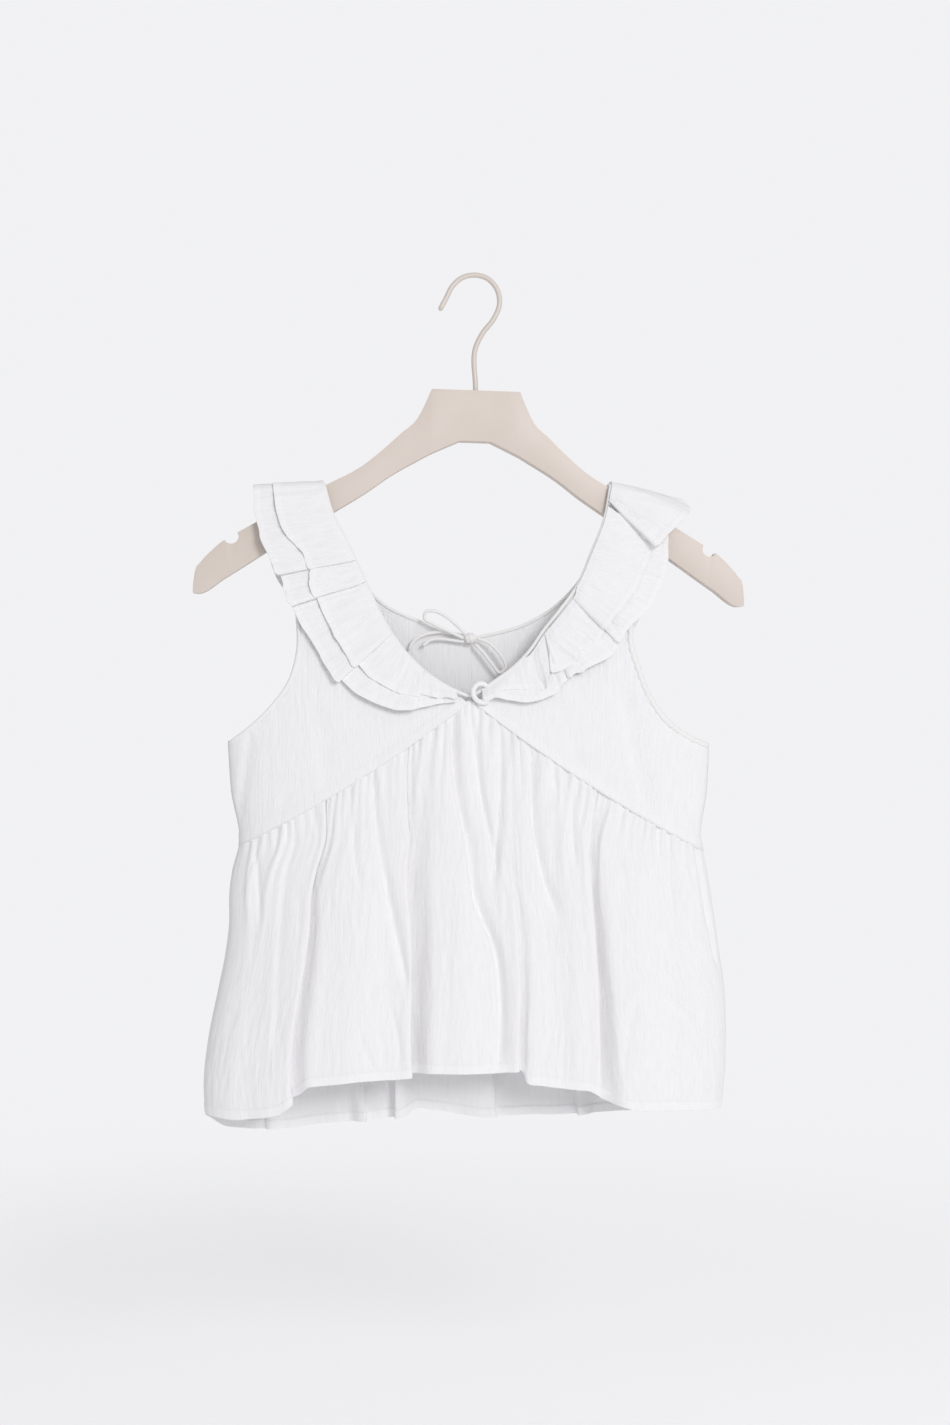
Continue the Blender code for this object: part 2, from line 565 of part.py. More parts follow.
def skirt_point(face, col, v, gather):
    """One point of a skirt: a column, how far down it lies, and its gather from -1 to 1."""
    top_s, hem_s, deep, begins, shift = col
    front = face == "front"
    seam, hem_table = (v_seam, HEM_FRONT) if front else (back_seam, HEM_BACK)
    top_x = float(across(top_s, SEAM_LEVEL))
    top_z = float(seam(float(across(top_s, seam(top_x))))) - SEAM_GAP / 2 / SEAM_SLOPE
    hem_x = float(across(hem_s, HEM_LEVEL))
    hem_z = float(np.interp(hem_x, column(hem_table, 0), column(hem_table, 1)))
    z = top_z + (hem_z - top_z) * v
    s = top_s + (hem_s - top_s) * v
    x = float(across(s, z))
    grown = max(0.0, (v - begins) / (1 - begins)) ** FOLD_GROWTH
    x += shift * grown
    inward = deep * grown
    for soft_top, soft_hem, wide, soft_deep in (SOFT_FRONT if front else SOFT_BACK):
        middle = soft_top + (soft_hem - soft_top) * v
        inward += soft_deep * min(1.0, SOFT_GROWTH * v) * math.exp(-(((x - middle) / wide) ** 2))
    inward -= GATHER_DEEP * gather * math.exp(-v / GATHER_FADE)
    inward *= 1.0 - abs(s) ** SIDE_FADE
    y = float(sheet_y(x, z, face))
    y += inward if front else -inward
    y = min(y, -FACE_GAP) if front else max(y, FACE_GAP)
    return (x, y, z)


def build_skirt(face):
    """A skirt panel: gathers along its seam, deep and soft folds down to its hem."""
    coarse = skirt_columns(face)
    fine = []
    for k, (now, after) in enumerate(zip(coarse, coarse[1:])):
        size = 0.7 + 0.3 * math.sin(1.7 * k + 0.6)
        between = tuple((a + b) / 2 for a, b in zip(now, after))
        fine += [(now, size), (between, -size)]
    fine.append((coarse[-1], 0.7))
    rows = [[skirt_point(face, col, v, size) for col, size in fine] for v in FINE_ROWS]
    rows += [[skirt_point(face, col, v, size) for col, size in fine[::2]] for v in PLAIN_ROWS]
    if face == "back":
        rows = [row[::-1] for row in rows]
    return cloth(f"skirt_{face}", rows)


def neck_run(side):
    """The whole neck edge of one side, from the back middle over the shoulder to the front point."""
    back = edge_line(side, "back", "neck")[::-1]
    front = edge_line(side, "front", "neck")
    points = np.vstack((back[:-1], front))
    run = lengths(points)
    return points, run - run[len(back) - 1]


def strip(begin, end, low, high, step):
    """Rows of a flat strip from a distance and layer to another, without its first one."""
    count = max(1, round(abs(end - begin) / step))
    return [(begin + (end - begin) * k / count, low + (high - low) * k / count) for k in range(1, count + 1)]


def pleat_profile(side):
    """The pleated strip seen from its sewing line: distance along the neck and layer from 0 to 2."""
    half_lap = PLEAT_LAP / 2
    low, middle, high = LAYERS["low"], LAYERS["middle"], LAYERS["high"]

    def half(pleats, end):
        sign = 1.0 if end > 0 else -1.0
        path = [(0.0, middle)] + [(sign * far, level) for far, level in SHOULDER_RUN]
        begin, layer = path[-1]
        for p in pleats:
            near, far = p - sign * half_lap, p + sign * half_lap
            turn = sign * PLEAT_TURN
            path += strip(begin, near, layer, high, STRIP_STEP)
            path += [(far, 2.0), (far + turn, 1.5), (far, 1.0)]
            path += [(near, 1.0), (near - turn, 0.5), (near, 0.0), (far, low)]
            begin, layer = far, low
        return path + strip(begin, end, layer, middle, END_STEP)

    first, last = FLOUNCE_ENDS[side]
    ahead = half([p for p in PLEATS[side] if p > 0], last)
    behind = half([p for p in reversed(PLEATS[side]) if p < 0], first)
    return behind[:0:-1] + ahead


def build_flounce(side, tier):
    """One tier of pleats along one side of the neck, from the back middle to the front point."""
    points, run = neck_run(side)
    table = FLOUNCE[side]
    sign = -1.0 if side == "left" else 1.0
    (low0, step0), (low1, step1) = LIFT[tier]
    rows = []
    for share in FLOUNCE_ROWS:
        row = []
        for s, level in pleat_profile(side):
            base = np.array([np.interp(s, run, points[:, i]) for i in range(3)])
            ahead = np.array([np.interp(s + EDGE_STRIDE, run, points[:, i]) for i in range(3)])
            behind = np.array([np.interp(s - EDGE_STRIDE, run, points[:, i]) for i in range(3)])
            along = Vector(behind - ahead).normalized()
            angle = math.radians(float(np.interp(s, column(table, 0), column(table, 1))))
            under = float(np.interp(s, column(table, 0), column(table, 2)))
            top = float(np.interp(s, column(table, 0), column(table, 3)))
            wide = under if tier == "under" else top
            out = Vector((sign * math.cos(angle), 0.0, -math.sin(angle)))
            up = along.cross(out).normalized() * -sign
            reach = FLOUNCE_START + (wide - FLOUNCE_START) * share
            f = reach / under
            lift = low0 + (low1 - low0) * f + level * (step0 + (step1 - step0) * f)
            lift *= 1.0 - SHOULDER_PRESS * math.exp(-((s / PRESSED_RUN) ** 2))
            spot = Vector(base) + out * reach + up * lift
            face = "front" if s > 0 else "back"
            sag = float(depth(spot.z, face) - depth(base[2], face)) * min(1.0, abs(s) / SAG_FROM)
            spot.y += -sag if face == "front" else sag
            row.append(tuple(spot))
        rows.append(row)
    if side == "right":
        rows = [row[::-1] for row in rows]
    return cloth(f"flounce_{tier}_{side}", rows, FLOUNCE_WALL)


def binding_route(side, which):
    """A binding's middle from the back over the shoulder to the front, at the rows of its yokes."""
    route = []
    for face in ("back", "front"):
        line = edge_line(side, face, which)
        lower = YOKE_ROWS
        if which == "armhole":
            lower -= SIDE_ROWS
        elif face == "back":
            lower -= MIDDLE_ROWS
        picked = line[stations(line, lower)]
        route.extend(picked[::-1] if face == "back" else picked[1:])
    return route


def build_bindings():
    """The neck binding from back middle to back middle, and a binding round each armhole."""
    neck = binding_route("left", "neck") + binding_route("right", "neck")[::-1]
    tube("neck_binding", neck, BINDING_D, "binding", 1)
    for side in ("left", "right"):
        tube(f"armhole_binding_{side}", binding_route(side, "armhole"), BINDING_D, "binding", 1)


def build_ties():
    """The knot, two loops and two tails of the bow."""
    for name, route in TIES.items():
        tube(name, rounded(route, TIE_STEP), TIE_D, "binding")
    rings, sides = 7, 12
    points, faces = [(KNOT[0], KNOT[1], KNOT[2] + KNOT_R[2])], []
    for i in range(1, rings):
        a = math.pi * i / rings
        for j in range(sides):
            b = math.tau * j / sides
            points.append((KNOT[0] + KNOT_R[0] * math.sin(a) * math.cos(b),
                           KNOT[1] + KNOT_R[1] * math.sin(a) * math.sin(b),
                           KNOT[2] + KNOT_R[2] * math.cos(a)))
    points.append((KNOT[0], KNOT[1], KNOT[2] - KNOT_R[2]))
    last = len(points) - 1
    for j in range(sides):
        after = (j + 1) % sides
        faces.append((0, 1 + j, 1 + after))
        faces.append((last, last - sides + after, last - sides + j))
        for i in range(rings - 2):
            a, b = 1 + i * sides, 1 + (i + 1) * sides
            faces.append((a + j, b + j, b + after, a + after))
    add_mesh("tie_knot", points, faces, "binding")


clear_scene()
build_hanger()
for yoke_face in ("front", "back"):
    for yoke_side in ("left", "right"):
        build_yoke(yoke_side, yoke_face)
    build_skirt(yoke_face)
for flounce_side in ("left", "right"):
    for flounce_tier in ("under", "top"):
        build_flounce(flounce_side, flounce_tier)
build_bindings()
build_ties()
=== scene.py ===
# %% [markdown]
# # A gathered cotton top with a pleated neck flounce, on a painted wooden hanger
#
# The CAD model of this top is already packed: plain solids with the right size, cut and
# main folds. This lesson dresses them. Each cloth piece is made again as a thin shell on
# the same lines, finely enough to carry crinkles, gathers and hems.
#
# Sizes in the tables are millimetres. X runs to the right as seen from the front, the front
# faces -Y, Z is up, and the origin is where the hook rests on whatever carries it.

# %% Load the CAD model
import math

import bpy
import numpy as np
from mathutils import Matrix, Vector


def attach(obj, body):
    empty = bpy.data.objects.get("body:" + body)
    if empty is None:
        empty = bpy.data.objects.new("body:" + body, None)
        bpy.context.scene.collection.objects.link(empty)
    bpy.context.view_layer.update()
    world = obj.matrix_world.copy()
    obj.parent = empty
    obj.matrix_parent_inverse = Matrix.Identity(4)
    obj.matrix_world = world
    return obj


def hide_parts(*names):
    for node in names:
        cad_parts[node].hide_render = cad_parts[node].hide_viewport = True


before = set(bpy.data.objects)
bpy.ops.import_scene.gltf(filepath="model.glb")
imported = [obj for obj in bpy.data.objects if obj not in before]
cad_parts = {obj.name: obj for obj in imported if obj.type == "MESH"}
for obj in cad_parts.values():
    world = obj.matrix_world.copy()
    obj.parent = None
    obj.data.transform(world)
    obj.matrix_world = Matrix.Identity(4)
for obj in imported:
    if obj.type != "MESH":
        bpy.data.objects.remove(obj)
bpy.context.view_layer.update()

MM = 0.001
print("CAD nodes:", len(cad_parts))

# %% [markdown]
# ## Camera
#
# A product photograph like this one is taken level, from about a metre and a half, with a
# 50 mm lens. The camera stands a little to the left, so the left end of the hanger is
# nearer. The lens is stated for the long side of the picture, which is 950 by 1425.

# %% Camera
CAMERA_YAW = math.radians(6.0)
CAMERA_FAR = 1544.0
CAMERA_AIM = (5.5, 0.0, -339.0)

lens = bpy.data.cameras.new("camera")
lens.lens = 50.0
lens.sensor_width = 36.0
camera = bpy.data.objects.new("camera", lens)
bpy.context.scene.collection.objects.link(camera)
camera.location = (
    (CAMERA_AIM[0] - CAMERA_FAR * math.sin(CAMERA_YAW)) * MM,
    -CAMERA_FAR * math.cos(CAMERA_YAW) * MM,
    CAMERA_AIM[2] * MM,
)
camera.rotation_euler = (math.radians(90.0), 0.0, -CAMERA_YAW)
bpy.context.scene.camera = camera
bpy.context.scene.view_settings.view_transform = "Standard"  # white on white keeps its pale tones
print("camera", [round(c, 3) for c in camera.location])

# %% [markdown]
# ## Reading curves from short tables
#
# A pattern cutter draws with a few marked points and a flexible ruler. `smooth` is the
# flexible ruler: it reads a rounded value between table entries. `rounded` walks along such
# a curve in even steps.

# %% The flexible ruler
def smooth(knots, values, at):
    knots = np.asarray(knots, float)
    values = np.asarray(values, float)
    at = np.clip(np.asarray(at, float), knots[0], knots[-1])
    slopes = np.gradient(values, knots, axis=0)
    low = np.clip(np.searchsorted(knots, at, side="right") - 1, 0, len(knots) - 2)
    step = knots[low + 1] - knots[low]
    t = (at - knots[low]) / step
    if values.ndim > 1:
        t, step = t[..., None], step[..., None]
    start, end = values[low], values[low + 1]
    return (
        (2 * t**3 - 3 * t**2 + 1) * start
        + (t**3 - 2 * t**2 + t) * step * slopes[low]
        + (3 * t**2 - 2 * t**3) * end
        + (t**3 - t**2) * step * slopes[low + 1]
    )


def lengths(points):
    """Distance from the first point to each point, along the line."""
    steps = np.linalg.norm(np.diff(points, axis=0), axis=1)
    return np.concatenate(([0.0], np.cumsum(steps)))


def rounded(points, step):
    """The flexible ruler through the points, walked in even steps."""
    points = np.asarray(points, float)
    along = lengths(points)
    dense = smooth(along, points, np.linspace(0.0, along[-1], 40 * len(points)))
    run = lengths(dense)
    count = max(2, round(run[-1] / step) + 1)
    even = np.linspace(0.0, run[-1], count)
    return np.stack([np.interp(even, run, dense[:, i]) for i in range(dense.shape[1])], axis=1)


def column(table, index):
    return np.array([row[index] for row in table])


def read(table, index, at):
    return smooth(column(table, 0), column(table, index), at)


def ease(value):
    """From 0 to 1 with a soft start and end."""
    t = np.clip(value, 0.0, 1.0)
    return t * t * (3 - 2 * t)


print("a ruler through 0, 1, 0 reads", round(float(smooth([0, 1, 2], [0, 1, 0], 0.5)), 3), "at a quarter")

# %% [markdown]
# ## Uneven cloth
#
# Nothing sewn is regular. `lattice` gives soft random hills: a random number at each point
# of a grid, blended smoothly in between. With a grid that is narrow across the cloth and
# long down it, the hills become the upright crinkles of cotton gauze. The numbers come from
# a fixed seed, so that the top looks the same every time.

# %% Soft random hills
def lattice(u, v, step_u, step_v, seed):
    size = 64
    table = np.random.default_rng(seed).uniform(-1.0, 1.0, (size, size))
    a, b = np.broadcast_arrays(u / step_u, v / step_v)
    i, j = np.floor(a).astype(int), np.floor(b).astype(int)
    p, q = ease(a - i), ease(b - j)
    i, j, i2, j2 = i % size, j % size, (i + 1) % size, (j + 1) % size
    low = table[i, j] * (1 - p) + table[i2, j] * p
    high = table[i, j2] * (1 - p) + table[i2, j2] * p
    return low * (1 - q) + high * q


def crinkle(u, v, seed):
    """Upright crinkles of gauze, about 3 mm wide and 25 mm long, between -1 and 1."""
    sway = 2.5 * lattice(u, v, 24.0, 50.0, seed)
    wide = lattice(u + sway, v, 3.4, 27.0, seed + 1)
    fine = lattice(u + sway, v, 2.0, 13.0, seed + 2)
    patch = 0.55 + 0.45 * lattice(u, v, 45.0, 60.0, seed + 3)
    return (0.68 * (1 - 2 * np.abs(wide)) + 0.32 * fine) * patch


print("crinkle of one square:", np.round(crinkle(np.arange(4.0), np.zeros(4), 1), 2))

# %% [markdown]
# ## Mesh helpers
#
# A cloth shell is made from a grid of points: the grid is moved outward by half the cloth's
# thickness for the outer face and inward for the inner one, and a rim closes the edges.
# The thickness may differ from point to point, because a hem is cloth folded twice. Each
# shell gets a UV map in metres along its own threads, so that the weave follows the folds.

# %% Cloth shells
def make_object(name, points, faces, look):
    mesh = bpy.data.meshes.new(name)
    mesh.from_pydata((np.asarray(points) * MM).tolist(), [], faces)
    mesh.validate()
    mesh.shade_smooth()
    mesh.materials.append(look)
    ob = bpy.data.objects.new(name, mesh)
    bpy.context.scene.collection.objects.link(ob)
    return ob


def outward(grid, sign):
    """Unit normals of a grid of points, on the side that sign picks."""
    normal = np.cross(np.gradient(grid, axis=0), np.gradient(grid, axis=1)) * sign
    return normal / np.maximum(np.linalg.norm(normal, axis=2, keepdims=True), 1e-9)


def lay_threads(mesh, spots, double):
    """Writes the UV map along the threads, and how far each point lies double."""
    corner = np.zeros(len(mesh.loops), int)
    mesh.loops.foreach_get("vertex_index", corner)
    layer = mesh.uv_layers.new(name="threads")
    layer.data.foreach_set("uv", spots[corner].astype(np.float32).ravel())
    mark = mesh.attributes.new("double", "FLOAT", "POINT")
    mark.data.foreach_set("value", double)


CUTS = {}  # width at the hem, length and area of each cloth piece, in millimetres


def shell(name, grid, wall, sign, uv, double, look):
    """A closed shell from a grid of rows. double is 1 where the cloth lies double, as in a hem."""
    rows, cols = grid.shape[:2]
    normal = outward(grid, sign)
    half = (np.broadcast_to(wall, (rows, cols)) / 2)[..., None]
    outer_face, inner_face = grid + normal * half, grid - normal * half
    points = np.concatenate((outer_face.reshape(-1, 3), inner_face.reshape(-1, 3)))
    index = np.arange(rows * cols).reshape(rows, cols)
    corners = (index[:-1, :-1], index[1:, :-1], index[1:, 1:], index[:-1, 1:])
    quads = np.stack(corners, axis=-1).reshape(-1, 4)
    if sign < 0:
        quads = quads[:, ::-1]
    inner = quads[:, ::-1] + rows * cols
    edge = np.concatenate((index[0, ::-1], index[1:, 0], index[-1, 1:], index[-2:0:-1, -1]))
    after = np.roll(edge, -1)
    rim = np.stack((after, edge, edge + rows * cols, after + rows * cols), axis=-1)
    if sign < 0:
        rim = rim[:, ::-1]
    ob = make_object(name, points, np.concatenate((quads, inner, rim)).tolist(), look)
    mesh = ob.data
    spots = np.stack([np.broadcast_to(c, (rows, cols)).reshape(-1) for c in uv], axis=1) * MM
    flat = np.broadcast_to(double, (rows, cols)).reshape(-1).astype(np.float32)
    lay_threads(mesh, np.concatenate((spots, spots)), np.concatenate((flat, flat)))
    patches = np.cross(np.diff(grid, axis=1)[:-1], np.diff(grid, axis=0)[:, :-1])
    area = float(np.linalg.norm(patches, axis=2).sum())
    print(f"{name}: {2 * len(mesh.polygons)} triangles, {area / 1e6:.4f} m2 of cloth")
    CUTS[name] = (float(lengths(grid[-1]).max()), float(lengths(grid[:, cols // 2]).max()), area)
    return ob


# %% Rolled strips and wires
def roll(name, points, radius, look, around=12, ripple=0.0, pitch=6.0, flat=1.0, seed=0):
    """A round or flattened strip along the points, with rounded ends and slanting wrinkles."""
    points = np.asarray(points, float)
    run = lengths(points)
    along = np.gradient(points, axis=0)
    along /= np.linalg.norm(along, axis=1)[:, None]
    side = np.cross(along[0], (0.0, 1.0, 0.0))
    rings, uv = [], []
    angle = np.linspace(0.0, math.tau, around, endpoint=False)
    near_end = (1.0 - np.minimum(run, run[-1] - run) / radius).clip(0.0, 1.0)
    close = np.sqrt(np.clip(1.0 - near_end**2, 0.05, 1.0))
    for k, (spot, ahead) in enumerate(zip(points, along)):
        side = side - ahead * np.dot(side, ahead)
        side /= np.linalg.norm(side)
        other = np.cross(ahead, side)
        turn = angle + math.tau * run[k] / pitch
        uneven = 0.6 + 0.4 * lattice(np.full(around, run[k]), angle * 4.0, pitch * 1.7, 6.0, seed)
        size = radius * close[k] * (1.0 + ripple * uneven * (np.abs(np.sin(turn)) ** 0.7 - 0.6))
        ring = np.outer(np.cos(angle) * size, side) + np.outer(np.sin(angle) * size * flat, other)
        rings.append(spot + ring)
        uv.append(np.stack((np.full(around, run[k]), angle * radius), axis=1))
    count = len(rings)
    index = np.arange(count * around).reshape(count, around)
    turned = np.roll(index, -1, axis=1)
    quads = np.stack((index[:-1], turned[:-1], turned[1:], index[1:]), axis=-1).reshape(-1, 4)
    faces = quads.tolist() + [index[0, ::-1].tolist(), index[-1].tolist()]
    ob = make_object(name, np.concatenate(rings), faces, look)
    mesh = ob.data
    lay_threads(mesh, np.concatenate(uv) * MM, np.ones(len(mesh.vertices), np.float32))
    print(f"{name}: {run[-1]:.0f} mm long, {2 * len(mesh.polygons)} triangles")
    return ob


# %% [markdown]
# ## Finishes
#
# Four finishes cover the whole object. Each is named for what it is made of. Colours are
# written as sRGB hex values, as a paint card gives them, and `linear` turns them into the
# numbers that the shader works with. `node` adds one node with its settings and links.

# %% Colour and node helpers
def linear(code):
    parts = [int(code[i : i + 2], 16) / 255.0 for i in (1, 3, 5)]
    return (*(p / 12.92 if p <= 0.04045 else ((p + 0.055) / 1.055) ** 2.4 for p in parts), 1.0)


def node(look, kind, settings=None, **links):
    """Adds a node. Links and values go to its inputs by name, with spaces as underscores, or by
    number, as in0 and in1, where several inputs share a name."""
    made = look.node_tree.nodes.new(kind)
    for key, value in (settings or {}).items():
        setattr(made, key, value)
    for key, value in links.items():
        by_number = key.startswith("in") and key[2:].isdigit()
        spot = made.inputs[int(key[2:]) if by_number else key.replace("_", " ")]
        if isinstance(value, bpy.types.NodeSocket):
            look.node_tree.links.new(value, spot)
        else:
            spot.default_value = value
    return made


def new_look(name, roughness, metallic=0.0):
    look = bpy.data.materials.new(name)
    look.use_nodes = True
    shader = look.node_tree.nodes["Principled BSDF"]
    shader.inputs["Roughness"].default_value = roughness
    shader.inputs["Metallic"].default_value = metallic
    return look, shader


print("cotton white", [round(c, 3) for c in linear("#F4F4F5")])

# %% [markdown]
# ### Cotton gauze
#
# The cloth is a light plain-weave cotton, washed so that its threads shrink unevenly and
# crinkle. It is matt, with a faint fuzz that lightens it at glancing angles, which is what
# sheen gives. Real threads lie about 0.4 mm apart, too fine for the picture, so they are
# drawn 1.1 mm apart. The finest crinkles, 1.5 mm wide, are part of the finish too: a stretched
# noise along the threads gives their height, and the same noise paints their valleys a touch
# darker, which is painted shade for the light that doesn't reach into them. Where the cloth
# lies double, in hems, less shows through it and it looks whiter.

# %% Cotton gauze
THREAD = 1.1 * MM
THREAD_SCALE = 1.0 / THREAD / 20.0 * math.tau
FINE_CRINKLE = 1.5 * MM
CRINKLE_STRETCH = (1.0 / FINE_CRINKLE, 0.09 / FINE_CRINKLE, 1.0)


def make_cotton(name, valley_shade, single, double, bump):
    look, shader = new_look(name, 0.92)
    shader.inputs["Sheen Weight"].default_value = 0.12
    shader.inputs["Sheen Roughness"].default_value = 0.6
    shader.inputs["Specular IOR Level"].default_value = 0.2
    threads = node(look, "ShaderNodeUVMap", {"uv_map": "threads"}).outputs["UV"]
    stretch = node(look, "ShaderNodeMapping", Vector=threads, Scale=CRINKLE_STRETCH)
    crepe = node(look, "ShaderNodeTexNoise", Vector=stretch.outputs[0],
                 Scale=1.0, Detail=3.0, Roughness=0.6)
    warp, weft = (
        node(look, "ShaderNodeTexWave", {"bands_direction": way}, Vector=threads,
             Scale=THREAD_SCALE, Distortion=1.2, Detail=1.0, Detail_Scale=2.0)
        for way in ("X", "Y")
    )
    weave = node(look, "ShaderNodeMath", {"operation": "MULTIPLY"},
                 in0=warp.outputs["Fac"], in1=weft.outputs["Fac"])
    height = node(look, "ShaderNodeMath", {"operation": "MULTIPLY_ADD"}, in0=weave.outputs[0], in1=0.12,
                  in2=crepe.outputs["Fac"])
    relief = node(look, "ShaderNodeBump", Height=height.outputs[0], Distance=bump * MM, Strength=0.8)
    look.node_tree.links.new(relief.outputs["Normal"], shader.inputs["Normal"])
    mark = node(look, "ShaderNodeAttribute", {"attribute_name": "double"})
    share = node(look, "ShaderNodeMath", {"operation": "MULTIPLY_ADD"}, in0=mark.outputs["Fac"], in1=0.22,
                 in2=crepe.outputs["Fac"])
    # painted shade: the crinkle noise also drives this ramp, so the cloth is darker in its valleys, where
    # light doesn't reach
    tint = node(look, "ShaderNodeValToRGB", Fac=share.outputs[0])
    tint.color_ramp.elements[0].position = 0.36
    tint.color_ramp.elements[0].color = linear(valley_shade)
    tint.color_ramp.elements[1].position = 0.58
    tint.color_ramp.elements[1].color = linear(single)
    tint.color_ramp.elements.new(0.85).color = linear(double)
    look.node_tree.links.new(tint.outputs["Color"], shader.inputs["Base Color"])
    return look


# the first colour of each cotton is the painted shade in its crinkle valleys
gauze = make_cotton("crinkled cotton gauze", "#F7F6F7", "#FAF9FA", "#FCFBFC", 0.75)
bias_cotton = make_cotton("cotton bias strip", "#F2F1EF", "#F7F6F4", "#F9F8F7", 0.6)
print("made", gauze.name, "and", bias_cotton.name)

# %% [markdown]
# ### Painted beech and painted wire
#
# The hanger is beech under a thin, warm off-white lacquer: smooth, half matt, with the grain
# only just felt through the paint. The hook is steel wire in the same colour, a little
# glossier because the lacquer is sprayed onto bare metal.

# %% Painted beech and painted wire
GRAIN = 1.6 * MM
GRAIN_STRETCH = (0.06 / GRAIN, 0.5 / GRAIN, 1.0 / GRAIN)  # fibres run along the arms


def make_lacquer(name, light, dark, roughness, coat, grain):
    look, shader = new_look(name, roughness)
    shader.inputs["Coat Weight"].default_value = coat
    shader.inputs["Coat Roughness"].default_value = 0.35
    place = node(look, "ShaderNodeTexCoord").outputs["Object"]
    stretch = node(look, "ShaderNodeMapping", Vector=place, Scale=GRAIN_STRETCH)
    fibres = node(look, "ShaderNodeTexNoise", Vector=stretch.outputs[0],
                  Scale=1.0, Detail=4.0, Roughness=0.65)
    relief = node(look, "ShaderNodeBump", Height=fibres.outputs["Fac"], Distance=grain * MM, Strength=0.5)
    look.node_tree.links.new(relief.outputs["Normal"], shader.inputs["Normal"])
    cloud = node(look, "ShaderNodeTexNoise", Vector=place, Scale=22.0, Detail=3.0)
    tint = node(look, "ShaderNodeValToRGB", Fac=cloud.outputs["Fac"])
    tint.color_ramp.elements[0].position = 0.3
    tint.color_ramp.elements[1].position = 0.7
    tint.color_ramp.elements[0].color = linear(dark)
    tint.color_ramp.elements[1].color = linear(light)
    look.node_tree.links.new(tint.outputs["Color"], shader.inputs["Base Color"])
    return look


painted_beech = make_lacquer("lacquered beech", "#E0D4CB", "#DBCFC5", 0.5, 0.12, 0.05)
painted_wire = make_lacquer("lacquered steel wire", "#DFD5CD", "#DACFC7", 0.34, 0.25, 0.0)
print("made", painted_beech.name, "and", painted_wire.name)

# %% [markdown]
# ## The form of the body
#
# These tables say where the cloth is. The top hangs almost flat: its front and back come
# close at the sides, and bulge apart towards the hem. The straps turn over the hanger's
# arms. The numbers are the ones the solids were made from, because a dressed piece lies
# where its solid lies.

# %% Hanger and straps
HANGER_X = 7.5
HANGER_TILT = math.radians(1.07)
ARM_STRAIGHT = ((116.0, -166.0), (166.0, -194.5))
RIDGE_CLEAR = 3.0
WRAP = 7.5
STRAPS_ABOVE = -220.0


def tilted(x, z):
    c, s = math.cos(HANGER_TILT), math.sin(HANGER_TILT)
    return x * c + z * s, -x * s + z * c


def ridge(x):
    """Height of a strap where it turns over the hanger's arm."""
    side = np.where(np.asarray(x) < 0, -1.0, 1.0)
    (u0, z0), (u1, z1) = ARM_STRAIGHT
    x0, h0 = tilted(HANGER_X + side * u0, z0)
    x1, h1 = tilted(HANGER_X + side * u1, z1)
    return h0 + (x - x0) * (h1 - h0) / (x1 - x0) + RIDGE_CLEAR


print("straps turn over at", [round(float(ridge(x))) for x in (-125, 125)], "mm")

# %% Depth and sides of the body
DEPTHS = (  # height, how far the front and the back stand from the middle
    (-650.0, 36.0, 19.0), (-540.0, 30.0, 17.0), (-440.0, 23.0, 15.0),
    (-330.0, 15.0, 12.5), (-250.0, 11.8, 11.4), (-160.0, 10.4, 10.4),
)
SIDES = (  # height, left, right
    (-655.0, -202.0, 199.5), (-625.0, -204.0, 203.5), (-590.0, -200.5, 204.5), (-550.0, -192.5, 202.5),
    (-525.0, -187.5, 198.5), (-500.0, -184.5, 195.0), (-480.0, -184.5, 192.0), (-460.0, -182.0, 188.5),
    (-440.0, -177.0, 184.5), (-400.0, -183.0, 189.0), (-364.0, -185.5, 191.0), (-150.0, -186.5, 192.0),
)
SIDE_ROUNDING = 6
FACE_GAP = 0.25


def side_share(x, z):
    left, right = read(SIDES, 1, z), read(SIDES, 2, z)
    return (2 * x - left - right) / (right - left)


def across(s, z):
    left, right = read(SIDES, 1, z), read(SIDES, 2, z)
    return (left + right) / 2 + s * (right - left) / 2


def depth(z, face):
    return read(DEPTHS, 1 if face == "front" else 2, z)


def sheet_y(x, z, face):
    s = np.clip(np.abs(side_share(x, z)), 0.0, 1.0)
    out = depth(z, face) * np.sqrt(1.0 - s**SIDE_ROUNDING)
    over = np.clip(1.0 - (ridge(x) - z) / WRAP, 0.0, 1.0)
    out = out * np.where(z > STRAPS_ABOVE, np.sqrt(1.0 - over**2), 1.0)
    return -np.maximum(out, FACE_GAP) if face == "front" else np.maximum(out, FACE_GAP)


print("front stands", round(float(-sheet_y(0.0, -600.0, "front")), 1), "mm out near the hem")

# %% Seams and edges
V_POINT = (1.0, -328.0)
V_ENDS = {"left": (-177.0, -439.0), "right": (184.5, -446.0)}
V_SAG = 6.5
NECK_FRONT = {
    "left": ((-106.0, -186.0), (-95.0, -208.0), (-80.0, -240.0), (-66.0, -269.0), (-52.0, -290.0),
             (-33.0, -309.0), (-14.0, -321.0), (-1.0, -326.5)),
    "right": ((105.5, -190.0), (96.0, -214.0), (84.0, -241.0), (71.0, -259.0), (58.0, -275.0),
              (46.0, -292.0), (34.0, -304.0), (19.0, -315.0), (4.0, -325.0)),
}
NECK_BACK = {
    "left": ((-106.0, -186.0), (-92.0, -221.0), (-66.0, -254.0), (-34.0, -269.0), (1.5, -281.0)),
    "right": ((109.5, -190.0), (98.5, -220.0), (86.0, -240.0), (67.0, -258.0), (46.0, -270.0),
              (5.5, -281.0)),
}
ARMHOLE = {
    "left": ((-138.5, -222.0), (-132.5, -262.0), (-132.0, -292.0), (-139.0, -316.0), (-151.0, -333.0),
             (-167.0, -349.0)),
    "right": ((132.5, -220.0), (127.0, -259.0), (126.5, -286.0), (131.5, -303.0), (139.5, -324.0),
              (154.0, -345.0), (172.0, -358.0)),
}
UNDERARM = {"left": (-185.0, -363.0), "right": (191.0, -366.0)}
STRAP_TOP = {"left": (-113.0, -144.0), "right": (111.5, 138.0)}
MIDDLE_BACK = 3.5


